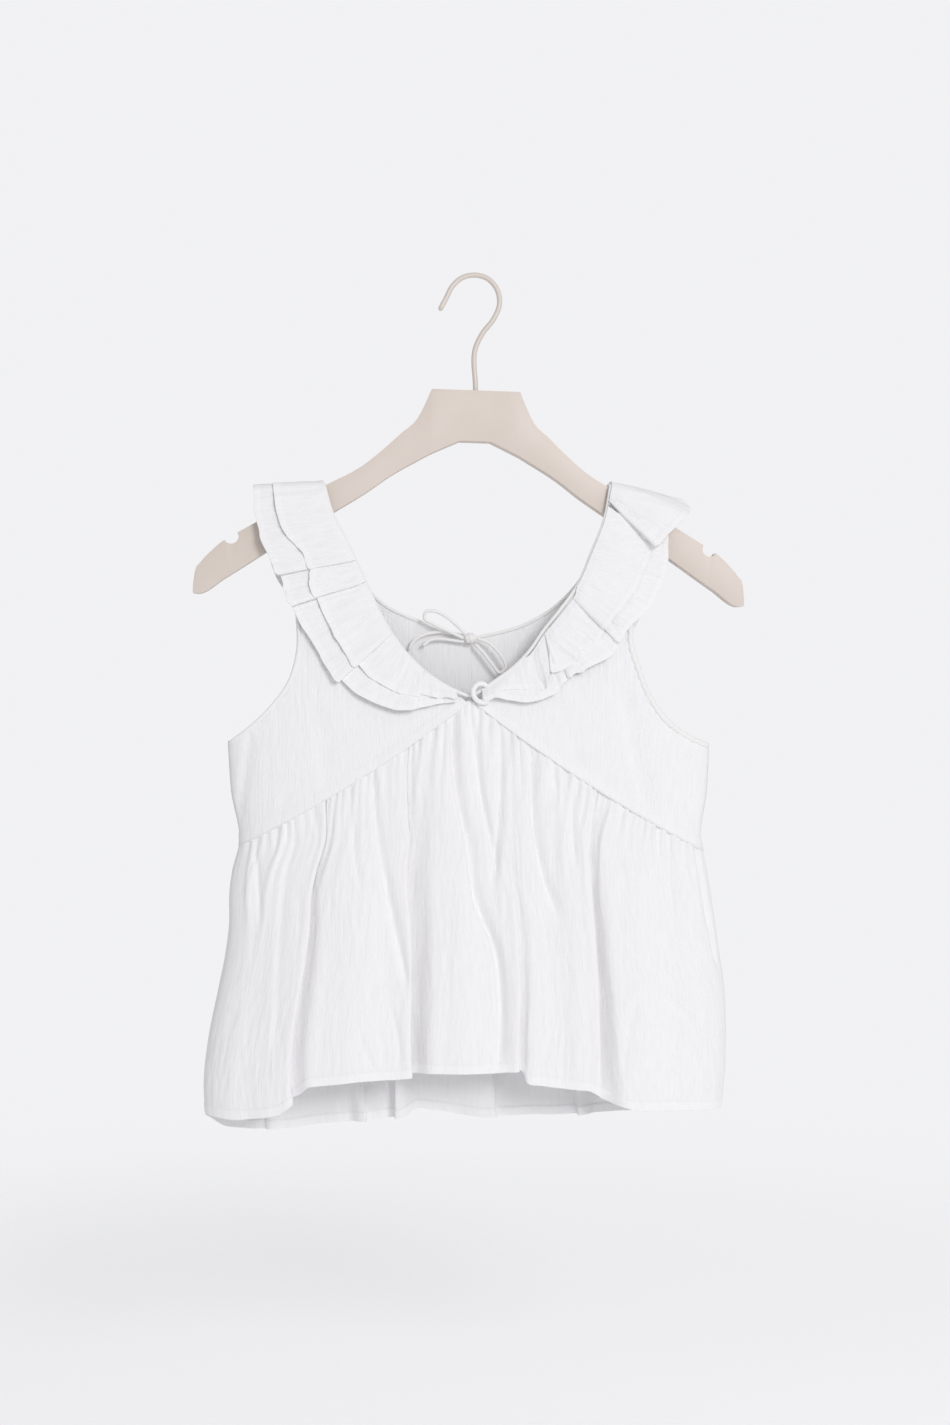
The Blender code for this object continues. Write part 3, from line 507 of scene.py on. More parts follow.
def v_seam(x):
    end = np.where(np.asarray(x) < V_POINT[0], V_ENDS["left"][0], V_ENDS["right"][0])
    low = np.where(np.asarray(x) < V_POINT[0], V_ENDS["left"][1], V_ENDS["right"][1])
    t = np.clip((x - V_POINT[0]) / (end - V_POINT[0]), 0.0, 1.0)
    return V_POINT[1] + (low - V_POINT[1]) * t - V_SAG * 4 * t * (1 - t)


def back_seam(x):
    (x0, z0), (x1, z1) = V_ENDS["left"], V_ENDS["right"]
    return z0 + (x - x0) * (z1 - z0) / (x1 - x0)


def edge_line(side, face, which):
    """The middle of a neck or armhole edge, from the top of the shoulder down."""
    top_x = STRAP_TOP[side][0 if which == "neck" else 1]
    start = (top_x, float(ridge(top_x)))
    if which == "neck":
        table = NECK_FRONT if face == "front" else NECK_BACK
        flat = rounded([start, *table[side]], 0.5)
    else:
        flat = rounded([start, *ARMHOLE[side], UNDERARM[side]], 0.5)
    return np.column_stack((flat[:, 0], sheet_y(flat[:, 0], flat[:, 1], face), flat[:, 1]))


print("neck edge, left front:", round(lengths(edge_line("left", "front", "neck"))[-1]), "mm")

# %% [markdown]
# ## Cords: the ties in a bow
#
# The neckline's binding ends in two free ties at the middle of the back, tied in a small
# limp bow. They are the same rolled bias strip, 2.6 mm across. The photograph shows both
# loops and both tails from end to end, so their lengths are read from it.

# %% Bow
TIE_D = 2.6
TIES = {
    "tie_loop_left": (
        (-1.4, 3.9, -278.0), (-9.0, 2.6, -270.5), (-18.0, 1.8, -263.5), (-26.0, 1.5, -260.0),
        (-32.5, 1.8, -260.5), (-34.0, 2.6, -265.0), (-27.0, 3.0, -270.0), (-15.0, 3.2, -275.5),
        (-2.8, 4.3, -281.2),
    ),
    "tie_loop_right": (
        (7.6, 4.1, -281.2), (15.5, 2.6, -284.0), (22.0, 1.8, -289.5), (27.5, 1.5, -297.0),
        (30.0, 1.8, -304.0), (26.0, 2.6, -308.0), (19.0, 3.0, -301.0), (12.5, 3.2, -292.5),
        (5.8, 4.3, -285.2),
    ),
    "tie_tail_upper": (
        (-2.2, 7.2, -279.2), (-12.0, 8.2, -276.8), (-24.0, 8.0, -276.2), (-34.0, 7.2, -278.4),
        (-41.5, 6.4, -283.0), (-46.0, 5.8, -290.5),
    ),
    "tie_tail_lower": (
        (-2.0, 6.6, -283.8), (-10.0, 6.8, -282.8), (-20.0, 6.4, -281.6), (-29.0, 5.6, -282.6),
        (-35.5, 5.0, -287.4),
    ),
}
KNOT = (2.5, 5.6, -281.0)
KNOT_R = (5.0, 4.2, 4.6)
KNOT_PINCHES = (-0.38, 0.30)  # where the turns are pulled in, on a ball of radius 1
KNOT_PINCH_HALF = 0.13
KNOT_SLANT = 0.25
KNOT_PINCHED = 0.84  # what is left of the radius there

bow = {}
for number, (name, route) in enumerate(TIES.items()):
    path = rounded(route, 1.0)
    bow[name] = roll("bow_" + name[4:], path, TIE_D / 2, bias_cotton,
                     around=14, ripple=0.16, pitch=7.0, seed=40 + number)
    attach(bow[name], "root")
    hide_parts(name)

# %% [markdown]
# ### The knot
#
# A knot in a rolled strip is two or three turns pulled tight. It starts from a small ball. Two
# slanting rings of its vertices are picked by their place and pinched in, so that the turns
# between them stand out.

# %% Knot
def select_where(test):
    """Selects the vertices of the object in edit mode that a test of their place picks."""
    bpy.ops.mesh.select_all(action="DESELECT")
    bpy.ops.object.mode_set(mode="OBJECT")
    for vertex in bpy.context.object.data.vertices:
        vertex.select = bool(test(vertex.co / MM))
    bpy.ops.object.mode_set(mode="EDIT")


def start_edit(kind):
    bpy.ops.object.mode_set(mode="EDIT")
    bpy.ops.mesh.select_mode(type=kind)


def finish_piece(name, look, angle=40.0):
    """Back to object mode, place and turn applied, smooth apart from sharp edges."""
    if bpy.context.object.mode == "EDIT":
        bpy.ops.object.mode_set(mode="OBJECT")
    ob = bpy.context.object
    bpy.ops.object.transform_apply(location=True, rotation=True, scale=True)
    bpy.ops.object.shade_smooth_by_angle(angle=math.radians(angle))
    ob.name = name
    ob.data.name = name
    ob.data.materials.clear()
    ob.data.materials.append(look)
    print(f"{name}: {len(ob.data.polygons)} faces")
    return ob


bpy.ops.object.select_all(action="DESELECT")
bpy.ops.mesh.primitive_uv_sphere_add(
    segments=32, ring_count=24, radius=1.0 * MM, location=[c * MM for c in KNOT])
bpy.context.object.scale = KNOT_R
start_edit("VERT")
for pinch in KNOT_PINCHES:
    select_where(lambda p, middle=pinch: abs(p.x + KNOT_SLANT * p.z - middle) < KNOT_PINCH_HALF)
    bpy.ops.transform.resize(value=(1.0, KNOT_PINCHED, KNOT_PINCHED))
bow_knot = finish_piece("bow_knot", bias_cotton, 180.0)
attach(bow_knot, "root")
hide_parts("tie_knot")

# %% [markdown]
# ## The skirt
#
# The skirt is the largest piece: a wide panel drawn together along the seam under the bust.
# Three things shape it. Deep folds run from the seam to the hem. Soft folds sway between
# them. Small gathers crowd at the seam and die away in a hand's width. A deep fold is drawn
# as lines that run down the cloth: two lips, and the foot of each side between them. One side
# slopes and the other hangs over the hollow, which is why the fold has one sharp edge. A
# smooth curve through all the lines rounds them.

# %% Skirt tables
HEM_FRONT = (
    (-204.0, -646.0), (-181.0, -648.0), (-156.0, -645.0), (-141.0, -641.0), (-128.0, -623.0),
    (-89.0, -619.0), (-50.0, -618.0), (-40.0, -614.0), (16.0, -615.0), (36.0, -613.5), (42.0, -623.0),
    (65.0, -627.0), (94.0, -630.0), (103.0, -638.5), (126.0, -645.0), (157.0, -646.5), (202.0, -649.0),
)
HEM_BACK = (
    (-204.0, -648.0), (-192.0, -659.0), (-168.0, -663.0), (-141.0, -664.0), (-117.0, -661.0),
    (-86.0, -659.0), (-53.0, -657.0), (-38.0, -650.0), (-8.0, -655.0), (24.0, -658.0), (96.0, -657.0),
    (150.0, -655.0), (186.0, -654.0), (202.0, -651.0),
)
# Deep folds: x of the left lip at the seam, half way and at the hem, the same of the right
# lip, the room behind a lip, depth at the hem, where they begin as a share of the height, and
# which side slopes instead of hanging over (1 the right one, -1 the left one)
FOLDS_FRONT = (
    ((-112.0, -126.0, -137.0), (-102.0, -115.0, -124.0), 6.0, 13.0, 0.0, 1),
    ((-50.0, -48.5, -47.0), (-27.0, -30.5, -31.0), 8.0, 18.5, 0.0, 1),
    ((33.0, 34.0, 35.5), (42.0, 43.0, 43.0), 4.5, 8.0, 0.45, 1),
    ((97.0, 95.5, 99.0), (112.0, 107.5, 117.0), 7.0, 16.5, 0.0, 1),
)
FOLDS_BACK = (
    ((-146.0, -151.0, -156.0), (-134.0, -139.0, -144.0), 3.0, 3.5, 0.1, 1),
    ((-84.0, -88.0, -90.0), (-74.0, -77.0, -80.0), 6.0, 8.5, 0.0, -1),
    ((-49.0, -51.0, -55.0), (-33.0, -36.0, -39.0), 8.0, 9.0, 0.0, 1),
    ((-4.0, -6.0, -7.0), (24.0, 23.0, 23.0), 13.0, 8.5, 0.1, -1),
    ((78.0, 83.0, 90.0), (90.0, 95.0, 102.0), 7.5, 9.0, 0.0, 1),
    ((134.0, 141.0, 146.0), (146.0, 152.0, 158.0), 7.0, 7.5, 0.2, -1),
)
SLOPE_DEPTH = 0.85  # depth of the sloping side's foot, as a share of the fold's
SLOPE_WIDE = 0.78  # how much of the mouth the sloping side takes up
FOLD_FLOOR = 0.7  # width of the floor, as a share of the mouth
POCKET_SHARE = 0.35  # how much of its pocket a lip hangs over, as the cloth is thin
FOLD_GROWTH = 0.5  # a fold deepens fast below the seam and slowly near the hem
# Soft folds: top x, hem x, half width, depth (+ is a hollow, - a ridge)
SOFT_FRONT = (
    (-158.0, -170.0, 12.0, 1.6), (-132.0, -152.0, 12.0, -1.2), (-84.0, -96.0, 16.0, -2.2),
    (-66.0, -62.0, 9.0, 1.8), (-14.0, -8.0, 13.0, -2.0), (2.0, 20.0, 11.0, 2.2),
    (60.0, 70.0, 12.0, 2.0), (78.0, 84.0, 11.0, -1.8), (126.0, 132.0, 14.0, -2.2),
    (150.0, 160.0, 11.0, 2.0), (168.0, 182.0, 9.0, -1.4),
)
SOFT_BACK = (
    (-166.0, -180.0, 9.0, 1.6), (-110.0, -118.0, 14.0, -2.2), (-60.0, -66.0, 8.0, -1.6),
    (-18.0, -20.0, 10.0, -2.0), (44.0, 50.0, 16.0, -2.2), (64.0, 72.0, 9.0, 2.0),
    (112.0, 124.0, 12.0, -2.2), (166.0, 178.0, 9.0, -1.4),
)
SOFT_GROWTH = 2.2
SIDE_FADE = 12
HALF_WIDTH = 200.0
SEAM_LEVEL = -400.0
HEM_LEVEL = -640.0
COLUMN_PITCH = {"front": 10.0, "back": 11.5}
SIDE_COLUMNS = (2.5, 7.0, 14.0)
print("deep folds:", len(FOLDS_FRONT), "in front,", len(FOLDS_BACK), "behind")

# %% [markdown]
# Besides these, the photograph shows sharper creases that wander down from the seam. Each
# is a line of points with a width to its left and to its right, because a crease that has
# fallen over is steep on one side and soft on the other. The back, which can't be seen, gets
# similar ones.

# %% Crease tables
# Line down the cloth (x, height), width to the left, width to the right, depth
CREASES_FRONT = (
    (((-15.0, -342.0), (-11.0, -398.0), (-2.0, -441.0), (4.0, -484.0), (17.0, -520.0), (21.0, -556.0),
      (20.0, -616.0)), 2.0, 4.8, 7.5),
    (((2.0, -345.0), (8.0, -405.0), (14.0, -432.0), (21.0, -470.0)), 1.8, 3.5, 3.8),
    (((48.0, -366.0), (48.0, -420.0), (54.0, -460.0), (67.0, -500.0)), 1.8, 5.0, 6.0),
    (((24.0, -350.0), (23.0, -400.0), (21.0, -432.0), (16.0, -476.0)), 1.8, 3.0, 3.4),
    (((38.0, -356.0), (39.0, -380.0), (40.0, -412.0)), 1.5, 2.4, 2.2),
    (((-75.0, -384.0), (-71.0, -440.0), (-64.0, -480.0), (-49.0, -556.0)), 2.2, 4.5, 4.6),
    (((-92.0, -398.0), (-90.0, -440.0), (-86.0, -480.0)), 1.8, 3.0, 1.8),
    (((-135.0, -428.0), (-143.0, -470.0), (-147.0, -520.0), (-150.0, -604.0)), 2.5, 6.0, 1.6),
    (((-165.0, -440.0), (-163.0, -470.0), (-161.0, -506.0)), 1.3, 2.6, 2.4),
    (((153.0, -440.0), (155.0, -470.0), (158.0, -510.0)), 1.5, 2.6, 2.4),
    (((163.0, -448.0), (168.0, -462.0), (177.0, -482.0)), 3.0, 4.0, 2.2),
    (((177.0, -450.0), (184.0, -486.0), (196.0, -545.0)), 1.2, 3.5, 4.2),
    (((78.0, -394.0), (79.0, -430.0), (81.0, -466.0)), 2.0, 2.5, 1.8),
    (((63.0, -380.0), (66.0, -394.0), (72.0, -412.0)), 4.0, 5.0, 2.4),
    (((-86.0, -586.0), (-78.0, -604.0), (-70.0, -622.0)), 1.6, 3.0, 2.2),
    (((-62.0, -560.0), (-57.0, -590.0), (-55.0, -616.0)), 1.6, 3.0, 1.6),
    (((127.0, -560.0), (120.0, -590.0), (116.0, -625.0)), 2.0, 3.6, 1.6),
    (((150.0, -560.0), (166.0, -572.0), (186.0, -590.0)), 5.0, 6.0, 1.6),
)
CREASES_BACK = (
    (((-158.0, -446.0), (-163.0, -500.0), (-172.0, -566.0)), 3.0, 5.0, 2.6),
    (((-108.0, -446.0), (-112.0, -520.0), (-121.0, -590.0), (-124.0, -640.0)), 2.5, 5.0, 2.6),
    (((-20.0, -446.0), (-26.0, -500.0), (-20.0, -560.0), (-14.0, -630.0)), 3.0, 6.0, 3.0),
    (((34.0, -446.0), (38.0, -500.0), (35.0, -548.0)), 2.0, 3.5, 2.0),
    (((60.0, -446.0), (56.0, -510.0), (64.0, -580.0), (66.0, -640.0)), 3.0, 6.0, 3.0),
    (((112.0, -448.0), (120.0, -500.0), (132.0, -560.0)), 2.5, 4.0, 2.4),
    (((166.0, -450.0), (170.0, -500.0), (180.0, -552.0)), 2.0, 4.0, 2.0),
)
CREASE_FADE = 22.0


def creases(x, z, table):
    """How far each point of a grid sinks into the creases of a table."""
    sunk = np.zeros_like(x)
    for line, left, right, deep in table:
        heights = column(line, 1)[::-1]
        middle = smooth(heights, column(line, 0)[::-1], z)
        d = x - middle
        inside = ease((heights[-1] - z) / CREASE_FADE + 0.3) * ease((z - heights[0]) / CREASE_FADE)
        sunk += deep * np.exp(-((d / np.where(d < 0, left, right)) ** 2)) * inside
    return sunk


print("creases:", len(CREASES_FRONT), "in front,", len(CREASES_BACK), "behind")

# %% Columns of a skirt panel
def skirt_columns(face):
    """The lines of a panel from left to right. Each has its share of the width at the seam and at
    the hem, its depth, where that begins, its shift behind a lip, and how far it bows sideways."""
    folds = FOLDS_FRONT if face == "front" else FOLDS_BACK
    seam = v_seam if face == "front" else back_seam
    hem_table = HEM_FRONT if face == "front" else HEM_BACK

    def shares(top_x, hem_x):
        hem_z = np.interp(hem_x, column(hem_table, 0), column(hem_table, 1))
        return float(side_share(top_x, seam(top_x))), float(side_share(hem_x, hem_z))

    def plain(top, hem, bow=0.0):
        return (top, hem, 0.0, 0.0, 0.0, bow)

    def lip(line):
        """Shares of a lip, and how far its middle lies from a line that runs straight down."""
        top, hem = shares(line[0], line[2])
        z = float(seam(line[1])) / 2 + np.interp(line[1], column(hem_table, 0), column(hem_table, 1)) / 2
        return top, hem, line[1] - float(across((top + hem) / 2, z))

    beside = [d / HALF_WIDTH for d in SIDE_COLUMNS]
    fixed = [plain(-1.0, -1.0)] + [plain(d - 1.0, d - 1.0) for d in beside]
    for left, right, pocket, deep, begins, slopes in folds:
        ends = {-1: lip(left), 1: lip(right)}
        for sign in (-1, 1):
            own, other = np.array(ends[sign]), np.array(ends[-sign])
            if sign == slopes:
                low, shift = SLOPE_DEPTH * deep, 0.0
                inner = own + (other - own) * SLOPE_WIDE
            else:
                low, shift = deep, sign * pocket * POCKET_SHARE
                inner = own + (other - own) * (1 - FOLD_FLOOR) / 2
            inside = (inner[0], inner[1], low, begins, shift, inner[2])
            fixed += [plain(*own), inside] if sign < 0 else [inside, plain(*own)]
    fixed += [plain(1.0 - d, 1.0 - d) for d in reversed(beside)] + [plain(1.0, 1.0)]
    columns = [fixed[0]]
    for now, after in zip(fixed, fixed[1:]):
        count = max(1, round((after[1] - now[1]) * HALF_WIDTH / COLUMN_PITCH[face]))
        if now[2] or after[2]:
            count = 1
        for k in np.arange(1, count) / count:
            columns.append(plain(*(now[i] + (after[i] - now[i]) * k for i in (0, 1, 5))))
        columns.append(after)
    return np.array(columns)


print("skirt front has", len(skirt_columns("front")), "columns")

# %% [markdown]
# The gathers are not a wave. A needle picks up the cloth unevenly, so each gather gets its
# own place, width, height and length from a seeded draw. They are narrow at the seam and
# widen as they fade.

# %% Gathers
GATHERS = {"front": 62, "back": 52}
GATHER_WIDE = (1.3, 2.7)
GATHER_HIGH = (1.2, 3.4)
GATHER_LONG = (16.0, 70.0)
GATHER_DRIFT = 0.10


def gathers(t, down, face):
    """Ridges of the gathers at a distance t along the seam and down from it, in millimetres."""
    draw = np.random.default_rng(5 if face == "front" else 6)
    count = GATHERS[face]
    span = float(np.max(t))
    total = np.zeros(np.broadcast(t, down).shape)
    for k in range(count):
        middle = span * (k + draw.uniform(0.15, 0.85)) / count
        wide = draw.uniform(*GATHER_WIDE)
        high = draw.uniform(*GATHER_HIGH)
        long = draw.uniform(*GATHER_LONG)
        drift = draw.uniform(-GATHER_DRIFT, GATHER_DRIFT)
        place = (t - middle - drift * down) / (wide * (1.0 + down / long))
        total += high * np.exp(-(place**2)) * np.exp(-((down / long) ** 1.4))
    return (total - 0.55 * np.exp(-down / 45.0)) * (0.35 + 0.65 * ease(down / 6.0))


print("gathers:", GATHERS)

# %% [markdown]
# The hem is turned up twice and is 7 mm deep, so it is thicker than the rest. Its rows lie
# at fixed distances from the edge, and all other rows share what is left of the height.

# %% Build the skirt panels
HEM_BAND = 7.0
HEM_ROWS = (9.0, 8.0, 7.3, 6.9, 5.6, 4.0, 2.4, 1.0, 0.3, 0.0)
CLOTH = 0.7
HEM_EXTRA = 0.75
FINE_PITCH = {"front": 1.36, "back": 1.6}
SKIRT_ROWS = {"front": 116, "back": 92}
CRINKLE_DEEP = 0.8


def skirt_grid(face):
    front = face == "front"
    cols = skirt_columns(face)
    top_s, hem_s, deep, begins, shift, bow = (cols[:, i][:, None] for i in range(6))
    seam, hem_table = (v_seam, HEM_FRONT) if front else (back_seam, HEM_BACK)
    top_x = across(top_s, np.full_like(top_s, SEAM_LEVEL))
    top_z = seam(across(top_s, seam(top_x)))
    hem_x = across(hem_s, np.full_like(hem_s, HEM_LEVEL))
    hem_z = np.interp(hem_x, column(hem_table, 0), column(hem_table, 1))
    tall = top_z - hem_z
    upper = np.linspace(0.0, 1.0, SKIRT_ROWS[face], endpoint=False)[None, :] ** 1.25
    band = 1.0 - np.array(HEM_ROWS)[None, :] / tall
    v = np.concatenate((upper * (1.0 - HEM_ROWS[0] / tall), band), axis=1)
    z = top_z - tall * v
    s = top_s + (hem_s - top_s) * v
    grown = np.clip((v - begins) / (1 - begins), 0.0, None) ** FOLD_GROWTH
    x = across(s, z) + shift * grown + bow * 4 * v * (1 - v)
    inward = deep * grown
    for soft_top, soft_hem, wide, soft_deep in (SOFT_FRONT if front else SOFT_BACK):
        middle = soft_top + (soft_hem - soft_top) * v
        inward += soft_deep * np.minimum(1.0, SOFT_GROWTH * v) * np.exp(-(((x - middle) / wide) ** 2))
    inward *= 1.0 - np.abs(s) ** SIDE_FADE
    y = sheet_y(x, z, face) + (inward if front else -inward)
    y = np.minimum(y, -FACE_GAP) if front else np.maximum(y, FACE_GAP)
    coarse = np.stack((x, y, z, s, tall * v, tall * (1 - v)), axis=-1)
    steps = np.linalg.norm(np.diff(coarse[..., :3], axis=0), axis=2).mean(axis=1)
    knots = np.concatenate(([0.0], np.cumsum(steps)))
    t = np.linspace(0.0, knots[-1], round(knots[-1] / FINE_PITCH[face]) + 1)
    fine = smooth(knots, coarse.reshape(len(cols), -1), t).reshape(len(t), -1, 6)
    return fine.transpose(1, 0, 2), t


def build_skirt(face, seed):
    front = face == "front"
    fine, t = skirt_grid(face)
    grid, s, down, up = fine[..., :3], fine[..., 3], fine[..., 4], fine[..., 5]
    normal = outward(grid, 1.0 if front else -1.0)
    raised = gathers(t[None, :] + 0.0 * down, down, face)
    raised -= creases(grid[..., 0], grid[..., 2], CREASES_FRONT if front else CREASES_BACK)
    raised += CRINKLE_DEEP * crinkle(t[None, :] + 0.0 * down, down, seed) * ease(up / 30.0 + 0.35)
    raised *= 1.0 - np.clip(np.abs(s), 0.0, 1.0) ** 60
    raised += 0.4 * lattice(t[None, :] + 0.0 * down, down, 14.0, 400.0, seed + 9) * ease(1.0 - up / 16.0)
    grid = grid + normal * raised[..., None]
    hem = ease((HEM_BAND - up) / 0.5 + 0.5)
    stitch = np.exp(-(((up - HEM_BAND + 0.9) / 0.45) ** 2))
    wall = CLOTH + HEM_EXTRA * hem - 0.45 * stitch
    sign = 1.0 if front else -1.0
    return shell(f"skirt_{face}_cloth", grid, wall, sign, (t[None, :], -down), hem, gauze)


skirts = {face: build_skirt(face, seed) for face, seed in (("front", 100), ("back", 140))}
for face, piece in skirts.items():
    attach(piece, "root")
    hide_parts(f"skirt_{face}")

# %% [markdown]
# ## The yokes
#
# Four smaller panels make the upper body. Each runs from the neck edge to the armhole edge,
# and turns over the hanger's arm at the shoulder. Their cloth is smooth by comparison: only
# crinkles, a few slanting drag lines, and small puckers where the armhole is bound. At the
# bottom a yoke's edge is folded under and laps over the skirt's gathers.

# %% Yoke edges
BINDING_D = 2.6
TURN_ROWS = (0.0, 0.7, 1.9, 3.8, 7.0, 12.0)
YOKE_ROWS = 11
END_ROWS = 1.3
MIDDLE_ROWS = 4
SIDE_ROWS = 3
PLACKET = 1.2  # half the width by which the two back yokes lap over each other
PLACKET_LIFT = 0.9
YOKE_FINER = 9  # rows of the shell for each row of the solid


def inset(line, side, which):
    """An edge line moved into the cloth, so that the binding lies over the cloth's edge."""
    run = np.gradient(line[:, [0, 2]], axis=0)
    run /= np.linalg.norm(run, axis=1)[:, None]
    by = 0.5 if (side == "left") == (which == "neck") else -0.5
    return line[:, [0, 2]] + by * np.column_stack((run[:, 1], -run[:, 0]))


def edge_rows(side, face, which, below):
    """Points of an edge, close together over the shoulder and then evenly spaced."""
    line = edge_line(side, face, which)
    run = lengths(line)
    under = ridge(line[:, 0]) - line[:, 2]
    turn = [run[int(np.argmin(np.abs(under - low)))] for low in TURN_ROWS]
    shares = 1.0 - (1.0 - np.linspace(0.0, 1.0, below + 1)[1:]) ** END_ROWS
    coarse = np.array(turn + list(turn[-1] + (run[-1] - turn[-1]) * shares))
    rows = np.arange(0, (len(coarse) - 1) * YOKE_FINER + 1) / YOKE_FINER
    fine = np.interp(rows, np.arange(len(coarse)), coarse)
    flat = inset(line, side, which)
    return np.column_stack((np.interp(fine, run, flat[:, 0]), np.interp(fine, run, flat[:, 1])))


def neck_rows(side, face):
    if face == "front":
        return edge_rows(side, face, "neck", YOKE_ROWS)
    edge = edge_rows(side, face, "neck", YOKE_ROWS - MIDDLE_ROWS)
    sign = -1.0 if side == "left" else 1.0
    top, bottom = edge[-1, 1], float(back_seam(MIDDLE_BACK))
    heights = np.linspace(top, bottom, MIDDLE_ROWS * YOKE_FINER + 1)
    lap = PLACKET * ease((top - heights) / 9.0) - 0.15
    return np.vstack((edge[:-1], np.column_stack((MIDDLE_BACK - sign * lap, heights))))


def armhole_rows(side, face):
    edge = edge_rows(side, face, "armhole", YOKE_ROWS - SIDE_ROWS)
    heights = np.linspace(UNDERARM[side][1] - 1.0, V_ENDS[side][1], SIDE_ROWS * YOKE_FINER + 1)
    sides = read(SIDES, 1 if side == "left" else 2, heights)
    return np.vstack((edge[:-1], np.column_stack((sides, heights))))


print("rows of a yoke:", len(neck_rows("left", "front")), len(armhole_rows("left", "front")))

# %% Build the yokes
YOKE_COLUMNS = 96
EDGE_CROWDING = 0.35  # how far the columns crowd towards the two edges
YOKE_CRINKLE = 0.5
SEAM_ALLOWANCE = 7.0
TUCK = 2.4  # how far the yoke's folded edge laps over the skirt
LAP_LIFT = 0.85
# Drag lines: line (x, height), width left, width right, depth
DRAGS = {
    ("front", "left"): (
        (((-168.0, -352.0), (-174.0, -390.0), (-178.0, -432.0)), 3.0, 6.0, 1.6),
        (((-120.0, -330.0), (-112.0, -372.0), (-106.0, -400.0)), 6.0, 9.0, 1.0),
    ),
    ("front", "right"): (
        (((119.0, -322.0), (128.0, -372.0), (140.0, -424.0)), 4.0, 9.0, 2.2),
        (((78.0, -352.0), (84.0, -376.0), (90.0, -392.0)), 4.0, 6.0, 1.4),
        (((162.0, -372.0), (170.0, -402.0), (176.0, -430.0)), 3.0, 5.0, 1.4),
    ),
    ("back", "left"): (
        (((-60.0, -300.0), (-72.0, -350.0), (-96.0, -410.0)), 5.0, 9.0, 1.8),
        (((-150.0, -352.0), (-154.0, -392.0), (-166.0, -430.0)), 4.0, 7.0, 1.6),
    ),
    ("back", "right"): (
        (((48.0, -300.0), (62.0, -350.0), (80.0, -404.0)), 5.0, 9.0, 1.8),
        (((140.0, -350.0), (150.0, -396.0), (158.0, -434.0)), 4.0, 7.0, 1.8),
    ),
}


def build_yoke(side, face, seed):
    inner, outer = neck_rows(side, face), armhole_rows(side, face)
    k = np.arange(len(inner)) / YOKE_FINER
    share = np.clip((k + 1 - len(TURN_ROWS)) / YOKE_ROWS, 0.0, 1.0)[:, None]
    crowded = 0.5 - 0.5 * np.cos(np.linspace(0.0, math.pi, YOKE_COLUMNS))
    u = crowded * EDGE_CROWDING + np.linspace(0.0, 1.0, YOKE_COLUMNS) * (1 - EDGE_CROWDING)
    u = u[None, :]
    x = inner[:, :1] * (1 - u) + outer[:, :1] * u
    z = inner[:, 1:] * (1 - u) + outer[:, 1:] * u
    if face == "front":
        (x0, z0), (x1, z1) = inner[-1], outer[-1]
        z = z + (v_seam(x) - z0 - (x - x0) * (z1 - z0) / (x1 - x0)) * share**2
    seam = v_seam if face == "front" else back_seam
    above = z - seam(x)
    z = z - TUCK * ease(1.0 - above / 6.0)
    grid = np.stack((x, sheet_y(x, z, face), z), axis=-1)
    sign = -1.0 if face == "front" else 1.0
    if side == "right":
        grid, above = grid[:, ::-1], above[:, ::-1]
    x, z = grid[..., 0], grid[..., 2]
    raised = YOKE_CRINKLE * crinkle(x + 500.0, z, seed) - creases(x, z, DRAGS[(face, side)])
    edge = np.abs(np.broadcast_to(u if side == "left" else u[:, ::-1], x.shape))
    width = np.abs(outer[:, 0] - inner[:, 0])[:, None]
    from_arm = (1.0 - edge) * width
    puckers = lattice(z + 0.6 * x, x, 3.2, 40.0, seed + 5) * np.exp(-from_arm / 9.0)
    raised += 0.7 * puckers * ease((-300.0 - z) / 30.0)
    raised *= ease(from_arm / 3.0) * ease(edge * width / 2.0)
    lap = ease((SEAM_ALLOWANCE - above) / 1.5)
    folded_edge = np.exp(-((np.maximum(above + 0.6, 0.0) / 3.2) ** 2))
    raised += 0.35 * lap + LAP_LIFT * folded_edge * ease(from_arm / 12.0)
    if face == "back" and side == "right":
        lapped = np.exp(-((np.maximum(x - MIDDLE_BACK, 0.0) / 5.0) ** 2))
        raised += PLACKET_LIFT * lapped * ease((-272.0 - z) / 12.0)
    grid = grid + outward(grid, sign) * raised[..., None]
    wall = CLOTH + 0.35 * lap - 0.3 * np.exp(-(((above - 2.6) / 0.5) ** 2))
    return shell(f"yoke_{face}_{side}_cloth", grid, wall, sign, (x, z), 0.6 * lap, gauze)


yokes = {}
for number, (face, side) in enumerate(DRAGS):
    piece = build_yoke(side, face, 200 + 10 * number)
    yokes[(face, side)] = piece
    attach(piece, "root")
    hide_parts(f"yoke_{face}_{side}")

# %% [markdown]
# ## The flounce
#
# The flounce is two tiers of the same pleated strip, the narrower one on top. Seen from the
# neck edge, the strip runs along, doubles back under itself at each pleat, and runs on a
# layer lower. Its path is drawn once as distance along the neck and layer, and both tiers
# follow it at their own width.

